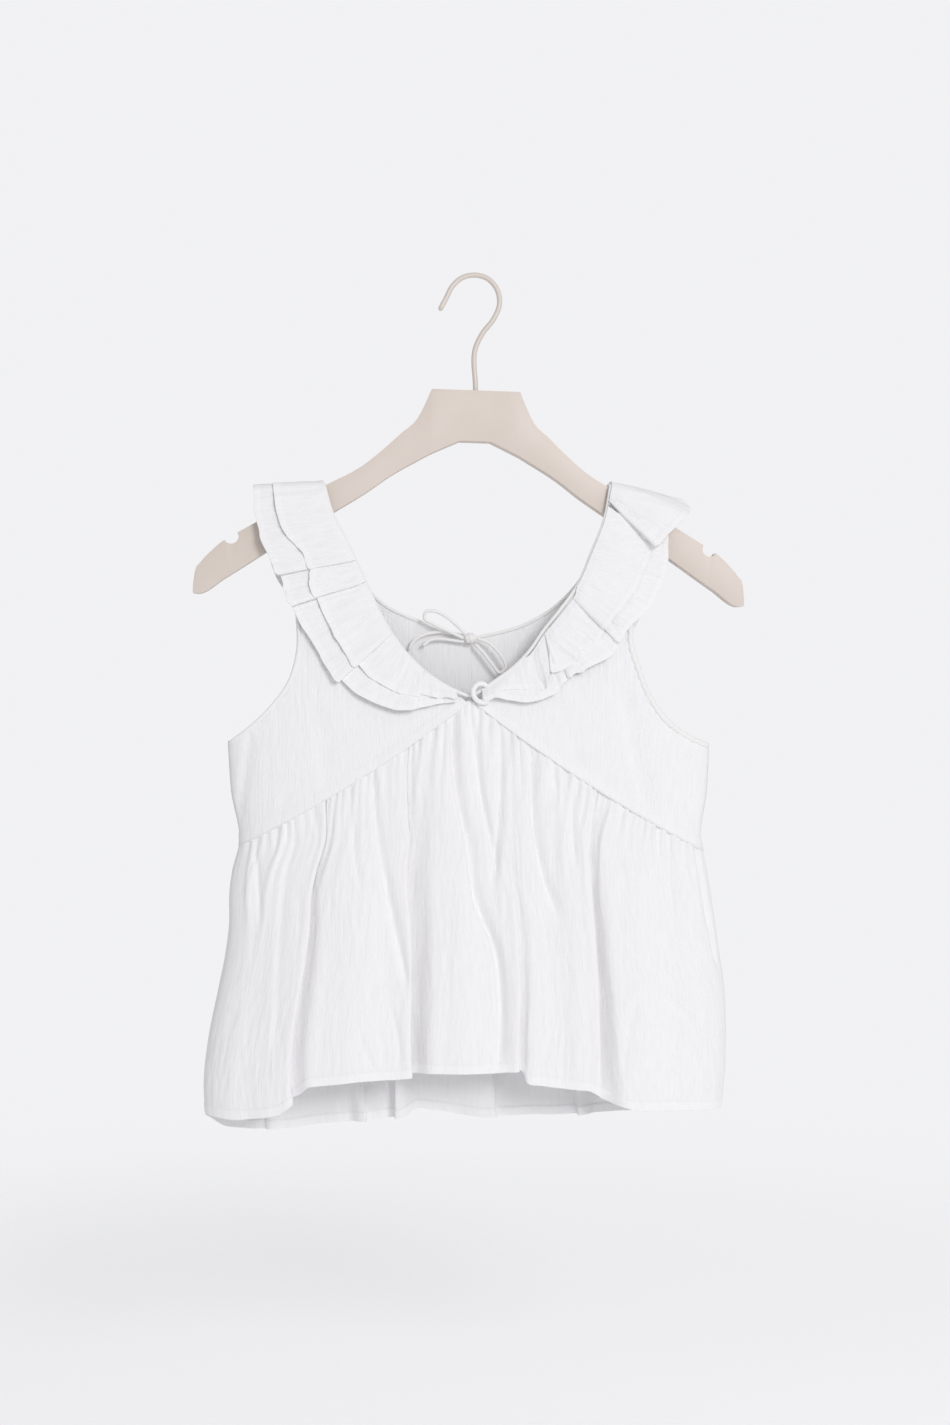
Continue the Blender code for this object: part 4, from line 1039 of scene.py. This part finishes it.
# %% Flounce tables
# Distance along the neck edge from the top of the shoulder (behind it is below zero), angle of
# the hem below level, width of the under tier and of the top tier
FLOUNCE_BEHIND = (
    (-162.0, 88.0, 44.0, 31.0), (-130.0, 72.0, 49.0, 34.0), (-95.0, 46.0, 54.0, 38.0),
    (-60.0, 20.0, 56.0, 40.0),
)
FLOUNCE = {
    "left": (
        *FLOUNCE_BEHIND, (-24.0, 8.0, 55.0, 39.0), (0.0, 6.0, 53.0, 38.0), (24.0, 6.0, 57.0, 41.0),
        (50.0, 8.0, 61.0, 40.0), (65.0, 9.0, 60.0, 35.0), (85.0, 16.0, 60.0, 40.0),
        (115.0, 35.0, 57.0, 39.0), (140.0, 45.0, 52.0, 35.0), (157.0, 62.0, 44.0, 30.0),
        (170.0, 72.0, 32.0, 21.0), (188.0, 80.0, 17.0, 12.0), (206.0, 88.0, 7.0, 5.0),
    ),
    "right": (
        *FLOUNCE_BEHIND, (-24.0, 9.0, 54.0, 46.0), (0.0, 9.0, 50.0, 62.0), (24.0, 10.0, 48.0, 53.0),
        (45.0, 9.0, 54.0, 45.0), (65.0, 14.0, 60.0, 43.0), (80.0, 22.0, 58.0, 41.0),
        (94.0, 42.0, 51.0, 36.0), (113.0, 43.0, 54.0, 38.0), (131.0, 47.0, 44.0, 31.0),
        (140.0, 48.0, 42.0, 35.0), (152.0, 56.0, 40.0, 33.0), (165.0, 68.0, 34.0, 25.0),
        (178.0, 80.0, 24.0, 15.0), (190.0, 86.0, 14.0, 9.0), (206.0, 88.0, 9.0, 6.0),
    ),
}
# Pleats: distance along the neck edge, how far the section above sticks out over the next one
PLEATS = {
    "left": ((-122.0, 3.0), (-84.0, 2.0), (-42.0, 4.0), (68.0, 2.0), (86.0, 1.0), (131.0, 5.0),
             (169.0, 2.0)),
    "right": ((-122.0, 2.0), (-84.0, 4.0), (-42.0, 2.0), (38.0, 5.0), (98.0, 1.0), (134.0, 2.0)),
}
# Where a pleat has fallen open: extra angle of the cloth before and beyond it, for each tier
OPENED = {
    ("left", "under", 169.0): (4.0, 10.0), ("left", "top", 169.0): (4.0, 16.0),
    ("right", "under", 134.0): (0.0, 18.0), ("right", "top", 134.0): (-4.0, 36.0),
}
PLEAT_LAP = 7.0
PLEAT_TURN = 0.8
SHOULDER_RUN = ((3.0, 1.05), (6.0, 1.1), (10.0, 1.2), (16.0, 1.3))
STRIP_STEP = 16.0
END_STEP = 12.0
LAYERS = {"low": 0.1, "middle": 1.0, "high": 1.9}
FLOUNCE_ENDS = {"left": (-158.0, 203.0), "right": (-158.0, 204.0)}
SAG_FROM = 40.0
EDGE_STRIDE = 2.5


def strip(begin, end, low, high, step):
    """Even points of the path from begin to end, while its layer goes from low to high."""
    count = max(1, round(abs(end - begin) / step))
    run, rise = end - begin, high - low
    return [(begin + run * k / count, low + rise * k / count) for k in range(1, count + 1)]


def pleat_path(side):
    """Distance along the neck and layer from 0 to 2, from the back's middle to the front's."""
    half_lap = PLEAT_LAP / 2

    def half(pleats, end):
        sign = 1.0 if end > 0 else -1.0
        path = [(0.0, LAYERS["middle"])] + [(sign * far, level) for far, level in SHOULDER_RUN]
        begin, layer = path[-1]
        for p in pleats:
            near, far = p - sign * half_lap, p + sign * half_lap
            turn = sign * PLEAT_TURN
            path += strip(begin, near, layer, LAYERS["high"], STRIP_STEP)
            path += [(far, 2.0), (far + turn, 1.5), (far, 1.0)]
            path += [(near, 1.0), (near - turn, 0.5), (near, 0.0), (far, LAYERS["low"])]
            begin, layer = far, LAYERS["low"]
        return path + strip(begin, end, layer, LAYERS["middle"], END_STEP)

    places = [p for p, _ in PLEATS[side]]
    first, last = FLOUNCE_ENDS[side]
    ahead = half([p for p in places if p > 0], last)
    behind = half([p for p in reversed(places) if p < 0], first)
    return np.array(behind[:0:-1] + ahead)


print("pleats:", {side: len(pleats) for side, pleats in PLEATS.items()})

# %% [markdown]
# ### The slipped section on the right shoulder
#
# The first section on the right has slid over the shoulder: its lower fold runs slantwise and
# stands off the section below it. Its stations are therefore sewn closer to the shoulder than
# the path says, and turned further down.

# %% The slipped section
# Distance along the strip, where it is sewn to the neck edge, angle of the hem below level, width
SLIPPED = (
    (-12.0, -12.0, 9.0, 57.0), (0.0, 0.0, 9.4, 64.0), (24.0, 15.0, 27.0, 55.0),
    (42.3, 21.0, 46.0, 51.0),
)
SLIPPED_END = 42.5
SLIPPED_DROOP = 6.5
SLIPPED_STANDS_OFF = 5.5
SLIPPED_GAP = 7.0  # the section below it starts this much higher, and closes the gap that it left
SLIPPED_UNDER = 9.0  # how much narrower the tier beneath is there


def slip(side, s, level):
    """How far each station belongs to the slipped section, from 0 to 1."""
    if side != "right":
        return np.zeros_like(s)
    return ease((level - 0.35) / 0.6) * (s < SLIPPED_END) * ease((s + 12.0) / 12.0)


print("the slipped section is", round(SLIPPED[1][3]), "mm wide at the shoulder")

# %% [markdown]
# ### Laying the strip
#
# The strip is a grid: its columns follow the pleated path, and its rows go from the neck edge
# to the hem, crowded in the hem band. Each point lies as far out as its row says, along its
# column's angle, and as high over the yoke as its layer says. Waves, folded edges that spring
# up a little, and crinkles across the strip are added to that height.

# %% Lay of the flounce
LAYER_SCALE = 1.4  # millimetres of height for one layer, used to space the path's points
STATION_STEP = 1.2
FLOUNCE_CLOTH = 0.6
BAND = 4.5
BAND_ROWS = (5.6, 4.9, 4.4, 3.2, 2.0, 0.9, 0.25, 0.0)
FLOUNCE_INNER = 26
ROOT = -1.0  # sewing line from the middle of the binding; it laps over the binding
# On the right the flounce starts further out, from here to here, by this much: the binding shows
BARE = (92.0, 165.0, 2.6)
ROOT_LIFT = {"under": 1.4, "top": 2.1}
# Height over the yoke at the neck edge and at the hem: lowest layer, one layer more
LAID = {"under": ((1.3, 0.6), (3.4, 1.0)), "top": ((2.4, 0.6), (5.4, 1.0))}
SHOULDER_PRESS = 0.4  # the tiers are pressed down where they turn over the shoulder
PRESSED_RUN = 18.0
SHOULDER_CREASE = 13.0
CREASE_DEEP, CREASE_WIDE = 1.6, 1.6


def neck_run(side):
    back = edge_line(side, "back", "neck")[::-1]
    front = edge_line(side, "front", "neck")
    points = np.vstack((back[:-1], front))
    run = lengths(points)
    return points, run - run[len(back) - 1]


def hem_corners(side, s, level, cloth_run):
    """Nearness of each station to the folded edges that show, from 0 to 1, sharp and wide."""
    sharp, wide = np.zeros_like(s), np.zeros_like(s)
    for p, _ in PLEATS[side]:
        way = 1.0 if p > 0 else -1.0
        fold = p + way * (PLEAT_LAP / 2 + PLEAT_TURN)
        nearest = int(np.argmin(np.abs(s - fold) + 3.0 * np.abs(level - 1.5)))
        d = cloth_run - cloth_run[nearest]
        sharp += np.exp(-((d / 1.7) ** 2))
        wide += np.exp(-((d / 5.0) ** 2))
    return sharp, wide


def opened(side, tier, s, level, cloth_run):
    """Extra angle of each station beside a pleat that has fallen open."""
    extra = np.zeros_like(s)
    for (own_side, own_tier, p), (before, beyond) in OPENED.items():
        if (own_side, own_tier) != (side, tier):
            continue
        fold = p + PLEAT_LAP / 2 + PLEAT_TURN
        nearest = int(np.argmin(np.abs(s - fold) + 3.0 * np.abs(level - 1.5)))
        d = cloth_run - cloth_run[nearest]
        after = ease((d + 1.0) / 4.0)
        extra += before * np.exp(-((np.minimum(d, 0.0) / 12.0) ** 2)) * (1 - after)
        extra += beyond * np.exp(-((np.maximum(d - 16.0, 0.0) / 17.0) ** 2)) * after
    return extra


print("neck edge, left:", round(float(np.ptp(neck_run("left")[1]))), "mm from back to front")


# %% Build the flounce
def build_flounce(side, tier, seed):
    points, run = neck_run(side)
    sign = -1.0 if side == "left" else 1.0
    path = rounded(pleat_path(side) * (1.0, LAYER_SCALE), STATION_STEP)
    s, level = path[:, 0], path[:, 1] / LAYER_SCALE
    cloth_run = lengths(path)
    share = slip(side, s, level)
    sewn = s * (1 - share) + read(SLIPPED, 1, s) * share

    def at(where):
        return np.stack([np.interp(where, run, points[:, i]) for i in range(3)], axis=1)

    below_slip = (side == "right") & (s > 33.0) & (level < 0.95)
    sewn = sewn - np.where(below_slip, SLIPPED_GAP * ease((54.0 - s) / 20.0) * (1 - share), 0.0)
    base = at(sewn)
    along = at(sewn - EDGE_STRIDE) - at(sewn + EDGE_STRIDE)
    along /= np.linalg.norm(along, axis=1)[:, None]
    table = FLOUNCE[side]
    angle = read(table, 1, s) * (1 - share) + read(SLIPPED, 2, s) * share
    angle = np.radians(angle + opened(side, tier, s, level, cloth_run))
    under = read(table, 2, s)
    slipped_wide = read(SLIPPED, 3, s) - (SLIPPED_UNDER if tier == "under" else 0.0)
    wide = (under if tier == "under" else read(table, 3, s)) * (1 - share) + slipped_wide * share
    for p, sticks in PLEATS[side]:
        way = 1.0 if p > 0 else -1.0
        end = (p + way * PLEAT_LAP / 2 - s) * way
        near = np.exp(-np.abs(end) / 9.0) * (1 - share)
        wide = wide + sticks * (ease((level - 1.2) / 0.6) - 0.35 * ease((0.8 - level) / 0.6)) * near
    sharp, near_fold = hem_corners(side, s, level, cloth_run)
    wide = wide - 1.5 * sharp + 0.9 * lattice(cloth_run, 0 * s, 7.0, 50.0, seed + 6)
    out = np.stack((sign * np.cos(angle), np.zeros_like(angle), -np.sin(angle)), axis=1)
    up = np.cross(along, out) * -sign
    up /= np.linalg.norm(up, axis=1)[:, None]
    inner = np.linspace(0.0, 1.0, FLOUNCE_INNER, endpoint=False)[:, None]
    root = ROOT + 0.0 * s
    if side == "right":
        root = root + BARE[2] * ease((s - BARE[0]) / 8.0) * ease((BARE[1] - s) / 8.0)
    full = (wide - root)[None, :]
    reach = np.concatenate((inner * (full - BAND_ROWS[0]), full - np.array(BAND_ROWS)[:, None]))
    reach = np.maximum(reach, 0.02 * full)
    left_over = full - reach
    off = reach
    reach = reach + root
    f = np.maximum(reach, 0.0) / under
    (low0, step0), (low1, step1) = LAID[tier]
    lift = low0 + (low1 - low0) * f + level * (step0 + (step1 - step0) * f)
    wave = 1.4 * lattice(cloth_run, 0 * s, 19.0, 50.0, seed)
    wave = wave + 0.8 * lattice(cloth_run, 0 * s, 9.0, 50.0, seed + 1)
    lift = lift + (wave + 0.6) * ease(f) ** 1.5 + 1.1 * near_fold * ease((level - 0.6) / 0.6) * f**2
    lift = lift * (1.0 - SHOULDER_PRESS * np.exp(-((sewn / PRESSED_RUN) ** 2)))
    lift = lift + SLIPPED_STANDS_OFF * share * ease((s - 2.0) / 36.0) * f**1.5
    sewn_flat = ease(off / 6.0)
    lift = (ROOT_LIFT[tier] + 0.3 * level) * (1 - sewn_flat) + lift * sewn_flat
    grid = base[None] + out[None] * reach[..., None] + up[None] * lift[..., None]
    grid[..., 2] -= SLIPPED_DROOP * share * ease((34.0 - s) / 30.0) * f**2
    z = grid[..., 2]
    ahead = depth(z, "front") - depth(base[:, 2], "front")
    behind = depth(base[:, 2], "back") - depth(z, "back")
    grid[..., 1] -= np.where(s > 0, ahead, behind) * np.minimum(1.0, np.abs(s) / SAG_FROM)
    facing = -1.0 if side == "right" else 1.0
    across_run = cloth_run[None, :] + 2.5 * lattice(reach, 0 * reach + seed, 15.0, 9.0, seed)
    rub = 0.5 * (1 - 2 * np.abs(lattice(across_run, reach, 3.4, 26.0, seed + 3)))
    broad = 0.6 * lattice(across_run, reach, 8.5, 38.0, seed + 4)
    rub += broad + 0.18 * lattice(across_run, reach, 2.1, 11.0, seed + 5)
    if side == "left":  # the crease where the strip turns over the shoulder
        rub = rub - CREASE_DEEP * np.exp(-(((s[None, :] - SHOULDER_CREASE) / CREASE_WIDE) ** 2))
    rub = rub * ease(reach / 8.0)
    normal = outward(grid, facing)
    if (normal * up[None]).sum() < 0:
        facing, normal = -facing, -normal
    grid = grid + normal * rub[..., None]
    hem = ease((BAND - left_over) / 0.5 + 0.5)
    wall = FLOUNCE_CLOTH + 0.45 * hem - 0.3 * np.exp(-(((left_over - BAND + 0.7) / 0.4) ** 2))
    threads = (cloth_run[None, :], reach)
    return shell(f"flounce_{tier}_{side}_cloth", grid, wall, facing, threads, hem, gauze)


flounces = {}
STRIPS = (("left", "under"), ("left", "top"), ("right", "under"), ("right", "top"))
for number, (side, tier) in enumerate(STRIPS):
    piece = build_flounce(side, tier, 300 + 20 * number)
    flounces[(side, tier)] = piece
    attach(piece, "root")
    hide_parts(f"flounce_{tier}_{side}")

# %% [markdown]
# ## Bindings
#
# The neck and both armholes are finished with a narrow bias strip that is folded round the
# raw edge. Cut on the slant, it stretches, and it wrinkles like a loosely twisted rope.

# %% Bindings
def edge_route(side, which):
    back, front = edge_line(side, "back", which), edge_line(side, "front", which)
    return np.vstack((back[::-1], front[1:]))


neck_route = np.vstack((edge_route("left", "neck"), edge_route("right", "neck")[::-1]))
ARMHOLE_ROLL = {"left": 1.5, "right": 2.2}  # the right one is puffed and twisted
ARMHOLE_PITCH = {"left": 12.0, "right": 15.0}
ARMHOLE_RIPPLE = {"left": 0.16, "right": 0.6}
EVERY = 3  # every third point of the line is used, which is 1.5 mm
bindings = {
    "neck_binding": roll("neck_binding_strip", neck_route[::EVERY], BINDING_D / 2 + 0.1, bias_cotton,
                         ripple=0.12, pitch=9.0, seed=60),
}
for side in ("left", "right"):
    route = edge_route(side, "armhole")[::EVERY]
    bindings[f"armhole_binding_{side}"] = roll(
        f"armhole_{side}_strip", route, ARMHOLE_ROLL[side], bias_cotton, around=16,
        ripple=ARMHOLE_RIPPLE[side], pitch=ARMHOLE_PITCH[side], flat=0.7, seed=61)
for name, piece in bindings.items():
    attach(piece, "root")
    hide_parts(name)

# %% [markdown]
# ### Where the two flounces meet
#
# At the point of the neck the right flounce's hem turns round on itself and tucks under again,
# which leaves a small curl with a dark hollow in it.

# %% Curl at the point of the neck
CURL_R = 1.9
CURL = ((13.0, -19.0, -319.0), (9.5, -20.0, -316.8), (5.5, -20.5, -317.2), (2.4, -20.5, -320.6),
        (2.2, -20.5, -325.4), (4.4, -20.5, -329.2), (8.8, -20.0, -331.2), (15.0, -18.5, -330.4))
curl = roll("neck_curl", rounded(CURL, 1.0), CURL_R, gauze, around=14, ripple=0.2, pitch=8.0, seed=66)
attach(curl, "root")

# %% [markdown]
# ## Cuts
#
# For each cloth piece, the rectangle that it is cut from is worked out and printed, in metres:
# its measured width and length in the shell and an allowance for hems and seams. The area says
# how much of that rectangle the shaped piece fills.

ALLOWANCE = {"skirt": (16.0, 28.0), "yoke": (16.0, 16.0), "flounce": (14.0, 20.0)}
pieces = [
    (skirts["front"], "gathered", ("yoke_front_left_cloth", "yoke_front_right_cloth")),
    (skirts["back"], "gathered", ("yoke_back_left_cloth", "yoke_back_right_cloth")),
]
pieces += [(piece, "hung", ("hanger_board",)) for piece in yokes.values()]
pieces += [(piece, "gathered", ("yoke_front_left_cloth" if side == "left" else "yoke_front_right_cloth",))
           for (side, tier), piece in flounces.items()]
for piece, held, rests_on in pieces:
    extra = ALLOWANCE[piece.name.split("_")[0]]
    wide, long, area = CUTS[piece.name]
    flat = ((wide + extra[0]) * MM, (long + extra[1]) * MM)
    area = min(flat[0] * flat[1], area * MM * MM + (wide + long) * extra[1] / 2 * MM * MM)
    print(f"{piece.name}: cut {flat[0]:.3f} by {flat[1]:.3f} m, {area:.4f} m2")

# %% [markdown]
# ## The hanger
#
# The body is sawn from flat stock: a block in the middle, two arms with a strap notch near
# each end, and an arch underneath. Half of it is drawn as a strip of faces. Starting from a
# plane, the strip's end edge is extruded station by station along the arm and stretched to
# the arm's height there. Mirroring gives the other half, thickness gives the board, and a
# bevel breaks its edges.

# %% Hanger outline
BLOCK_TOP = -88.5
BLOCK_HALF = 34.5
ARM_TOP = (
    (34.5, -88.5), (38.0, -97.0), (45.5, -112.0), (57.0, -123.0), (69.0, -134.4), (87.5, -150.0),
    (116.0, -166.0), (166.0, -194.5), (182.0, -204.0), (195.5, -212.6), (202.5, -219.3), (210.0, -228.0),
    (214.3, -237.0), (215.3, -245.0),
)
ARM_UNDER = (
    (0.0, -128.0), (24.0, -133.5), (46.0, -145.0), (68.0, -158.5), (80.0, -167.5), (106.0, -184.5),
    (160.0, -218.5), (190.0, -238.5), (212.0, -251.5), (215.3, -251.0),
)
HANGER_THICK = 12.0
HANGER_EDGE = 1.5
NOTCH = ((187.0, -207.0), 5.8)
HOOK_HOLE_R = 2.15
HOOK_SOCKET = 14.0  # how deep the wire sits in the block
STATIONS = (
    12.0, 24.0, 34.4, 34.6, 36.0, 38.0, 40.5, 43.0, 45.5, 48.5, 52.0, 56.0, 60.0, 65.0, 70.0, 76.0, 82.0,
    88.0, 95.0, 102.0, 110.0, 118.0, 128.0, 138.0, 148.0, 158.0, 168.0, 178.0, 186.0, 192.0, 196.0,
    199.5, 202.5, 205.0, 207.5, 209.5, 211.3, 212.8, 214.0, 214.8, 215.3,
)


def arm_ends(u):
    """Top and underside of the hanger at a distance from its middle."""
    top = BLOCK_TOP if u < BLOCK_HALF else float(smooth(column(ARM_TOP, 0), column(ARM_TOP, 1), u))
    return top, float(smooth(column(ARM_UNDER, 0), column(ARM_UNDER, 1), u))


print("arm is", round(arm_ends(150.0)[0] - arm_ends(150.0)[1], 1), "mm deep at 150 mm from the middle")

# %% Hanger body
bpy.ops.object.select_all(action="DESELECT")
bpy.ops.mesh.primitive_plane_add(size=1.0 * MM, rotation=(math.radians(90.0), 0.0, 0.0))
bpy.ops.object.transform_apply(location=True, rotation=True, scale=True)
top, low = arm_ends(0.0)
first = STATIONS[0]
start_edit("VERT")
bpy.ops.transform.translate(value=(0.5 * MM, 0.0, 0.0))
bpy.ops.transform.resize(value=(first, 1.0, top - low), center_override=(0.0, 0.0, 0.0))
bpy.ops.transform.translate(value=(0.0, 0.0, (top + low) / 2 * MM))
select_where(lambda p: p.x > first - 0.01)
tall, middle = top - low, (top + low) / 2
for near, far in zip(STATIONS, STATIONS[1:]):
    top, low = arm_ends(far)
    rise = (top + low) / 2 - middle
    bpy.ops.mesh.extrude_region_move(
        TRANSFORM_OT_translate={"value": ((far - near) * MM, 0.0, rise * MM)})
    middle = (top + low) / 2
    bpy.ops.transform.resize(
        value=(1.0, 1.0, (top - low) / tall), center_override=(far * MM, 0.0, middle * MM))
    tall = top - low
bpy.ops.object.mode_set(mode="OBJECT")
board = bpy.context.object

# %% Thickness, notches and edges of the hanger
def apply(ob, kind, **settings):
    bpy.context.view_layer.objects.active = ob
    modifier = ob.modifiers.new(kind.lower(), kind)
    for key, value in settings.items():
        setattr(modifier, key, value)
    bpy.ops.object.modifier_apply(modifier=modifier.name)


apply(board, "MIRROR", use_axis=(True, False, False), merge_threshold=0.01 * MM)
apply(board, "SOLIDIFY", thickness=HANGER_THICK * MM, offset=0.0)
(notch_x, notch_z), notch_r = NOTCH
cutters = []
for side_x in (-notch_x, notch_x):
    bpy.ops.mesh.primitive_cylinder_add(vertices=48, radius=notch_r * MM, depth=40.0 * MM,
                                        location=(side_x * MM, 0.0, notch_z * MM),
                                        rotation=(math.radians(90.0), 0.0, 0.0))
    cutters.append(bpy.context.object)
bpy.ops.mesh.primitive_cylinder_add(
    vertices=32, radius=HOOK_HOLE_R * MM, depth=2 * HOOK_SOCKET * MM, location=(0.0, 0.0, BLOCK_TOP * MM))
cutters.append(bpy.context.object)
for cutter in cutters:
    apply(board, "BOOLEAN", operation="DIFFERENCE", solver="EXACT", object=cutter)
    bpy.data.objects.remove(cutter)
apply(board, "BEVEL", width=HANGER_EDGE * MM, segments=3, limit_method="ANGLE",
      angle_limit=math.radians(60.0))
bpy.ops.object.select_all(action="DESELECT")
board.select_set(True)
bpy.context.view_layer.objects.active = board
board.location.x = HANGER_X * MM
bpy.ops.object.transform_apply(location=True, rotation=True, scale=True)
board.rotation_euler.y = HANGER_TILT
hanger_board = finish_piece("hanger_board", painted_beech, 35.0)
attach(hanger_board, "root")
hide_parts("hanger_body")

# %% [markdown]
# ## The hook
#
# One length of 4 mm wire: straight out of the block, a lean to the right, and then the round
# of the hook back over the origin. Its end is rounded off.

# %% Hook
HOOK_D = 4.0
HOOK_LIFT = 0.3
HOOK_WIRE = (
    (0.0, 0.0), (0.0, 34.0), (4.7, 43.7), (13.3, 55.4), (17.6, 67.0), (14.8, 79.6), (7.0, 87.0),
    (-2.3, 88.9), (-11.7, 86.6), (-19.5, 79.6), (-24.2, 70.2), (-29.3, 60.0),
)
wire = rounded(HOOK_WIRE, 1.6)
base_z = HOOK_D / 2 + HOOK_LIFT - max(z for _, z in HOOK_WIRE)
foot = (0.0, BLOCK_TOP - HOOK_SOCKET + 0.3 - base_z)  # just off the bottom of the hook's hole
level_route = [(HANGER_X + x, base_z + z) for x, z in [foot, *wire]]
hook_route = np.array([(tilted(x, z)[0], 0.0, tilted(x, z)[1]) for x, z in level_route])
hanger_wire = roll("hanger_wire", hook_route, HOOK_D / 2, painted_wire, around=24)
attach(hanger_wire, "root")
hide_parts("hanger_hook")

# %% [markdown]
# ## Studio
#
# A pale floor that fades into a pale surround, one large soft light from the upper right in
# front, and even light from everywhere else. The surround is brighter to the camera than as a
# light, so that white cloth doesn't wash out against it.

# %% Floor
FLOOR_Z = -0.93
bpy.ops.object.select_all(action="DESELECT")
bpy.ops.mesh.primitive_circle_add(vertices=96, radius=2.4, fill_type="NGON", location=(0.0, 0.0, FLOOR_Z))
floor = bpy.context.object
floor.name = "studio_floor"
floor_look, floor_shader = new_look("studio floor", 0.9)
floor_shader.inputs["Base Color"].default_value = linear("#FBFBFC")
floor_shader.inputs["Emission Color"].default_value = linear("#F6F6F8")
floor_shader.inputs["Emission Strength"].default_value = 0.22
place = node(floor_look, "ShaderNodeTexCoord").outputs["Object"]
far = node(floor_look, "ShaderNodeVectorMath", {"operation": "LENGTH"}, in0=place)
fade = node(floor_look, "ShaderNodeMapRange", {"interpolation_type": "SMOOTHERSTEP"},
            Value=far.outputs["Value"], From_Min=0.2, From_Max=1.5, To_Min=1.0, To_Max=0.0)
look_through = node(floor_look, "ShaderNodeBsdfTransparent")
mixed = node(floor_look, "ShaderNodeMixShader", Fac=fade.outputs["Result"], in1=look_through.outputs[0],
             in2=floor_shader.outputs[0])
output = floor_look.node_tree.nodes["Material Output"]
floor_look.node_tree.links.new(mixed.outputs[0], output.inputs["Surface"])
floor.data.materials.append(floor_look)
print("floor at", FLOOR_Z, "m")

# %% Lights
SEEN = 0.96
FILL = 0.61
KEY = 20.0
KEY_PLACE = Vector((0.74, -2.1, 0.42))
KEY_AIM = Vector((0.0, 0.0, -0.4))
KEY_SIZE = 0.9

world = bpy.data.worlds.new("studio")
world.use_nodes = True
bpy.context.scene.world = world
background = world.node_tree.nodes["Background"]
background.inputs["Color"].default_value = linear("#F6F6F8")
ray = world.node_tree.nodes.new("ShaderNodeLightPath")
level = world.node_tree.nodes.new("ShaderNodeMapRange")
level.inputs["To Min"].default_value = FILL
level.inputs["To Max"].default_value = SEEN
world.node_tree.links.new(ray.outputs["Is Camera Ray"], level.inputs["Value"])
world.node_tree.links.new(level.outputs["Result"], background.inputs["Strength"])

lamp = bpy.data.lights.new("key", "AREA")
lamp.shape = "DISK"
lamp.size = KEY_SIZE
lamp.energy = KEY
key = bpy.data.objects.new("key", lamp)
bpy.context.scene.collection.objects.link(key)
key.location = KEY_PLACE
key.rotation_euler = (KEY_AIM - KEY_PLACE).to_track_quat("-Z", "Y").to_euler()
print("key light", round((KEY_PLACE - KEY_AIM).length, 2), "m away")
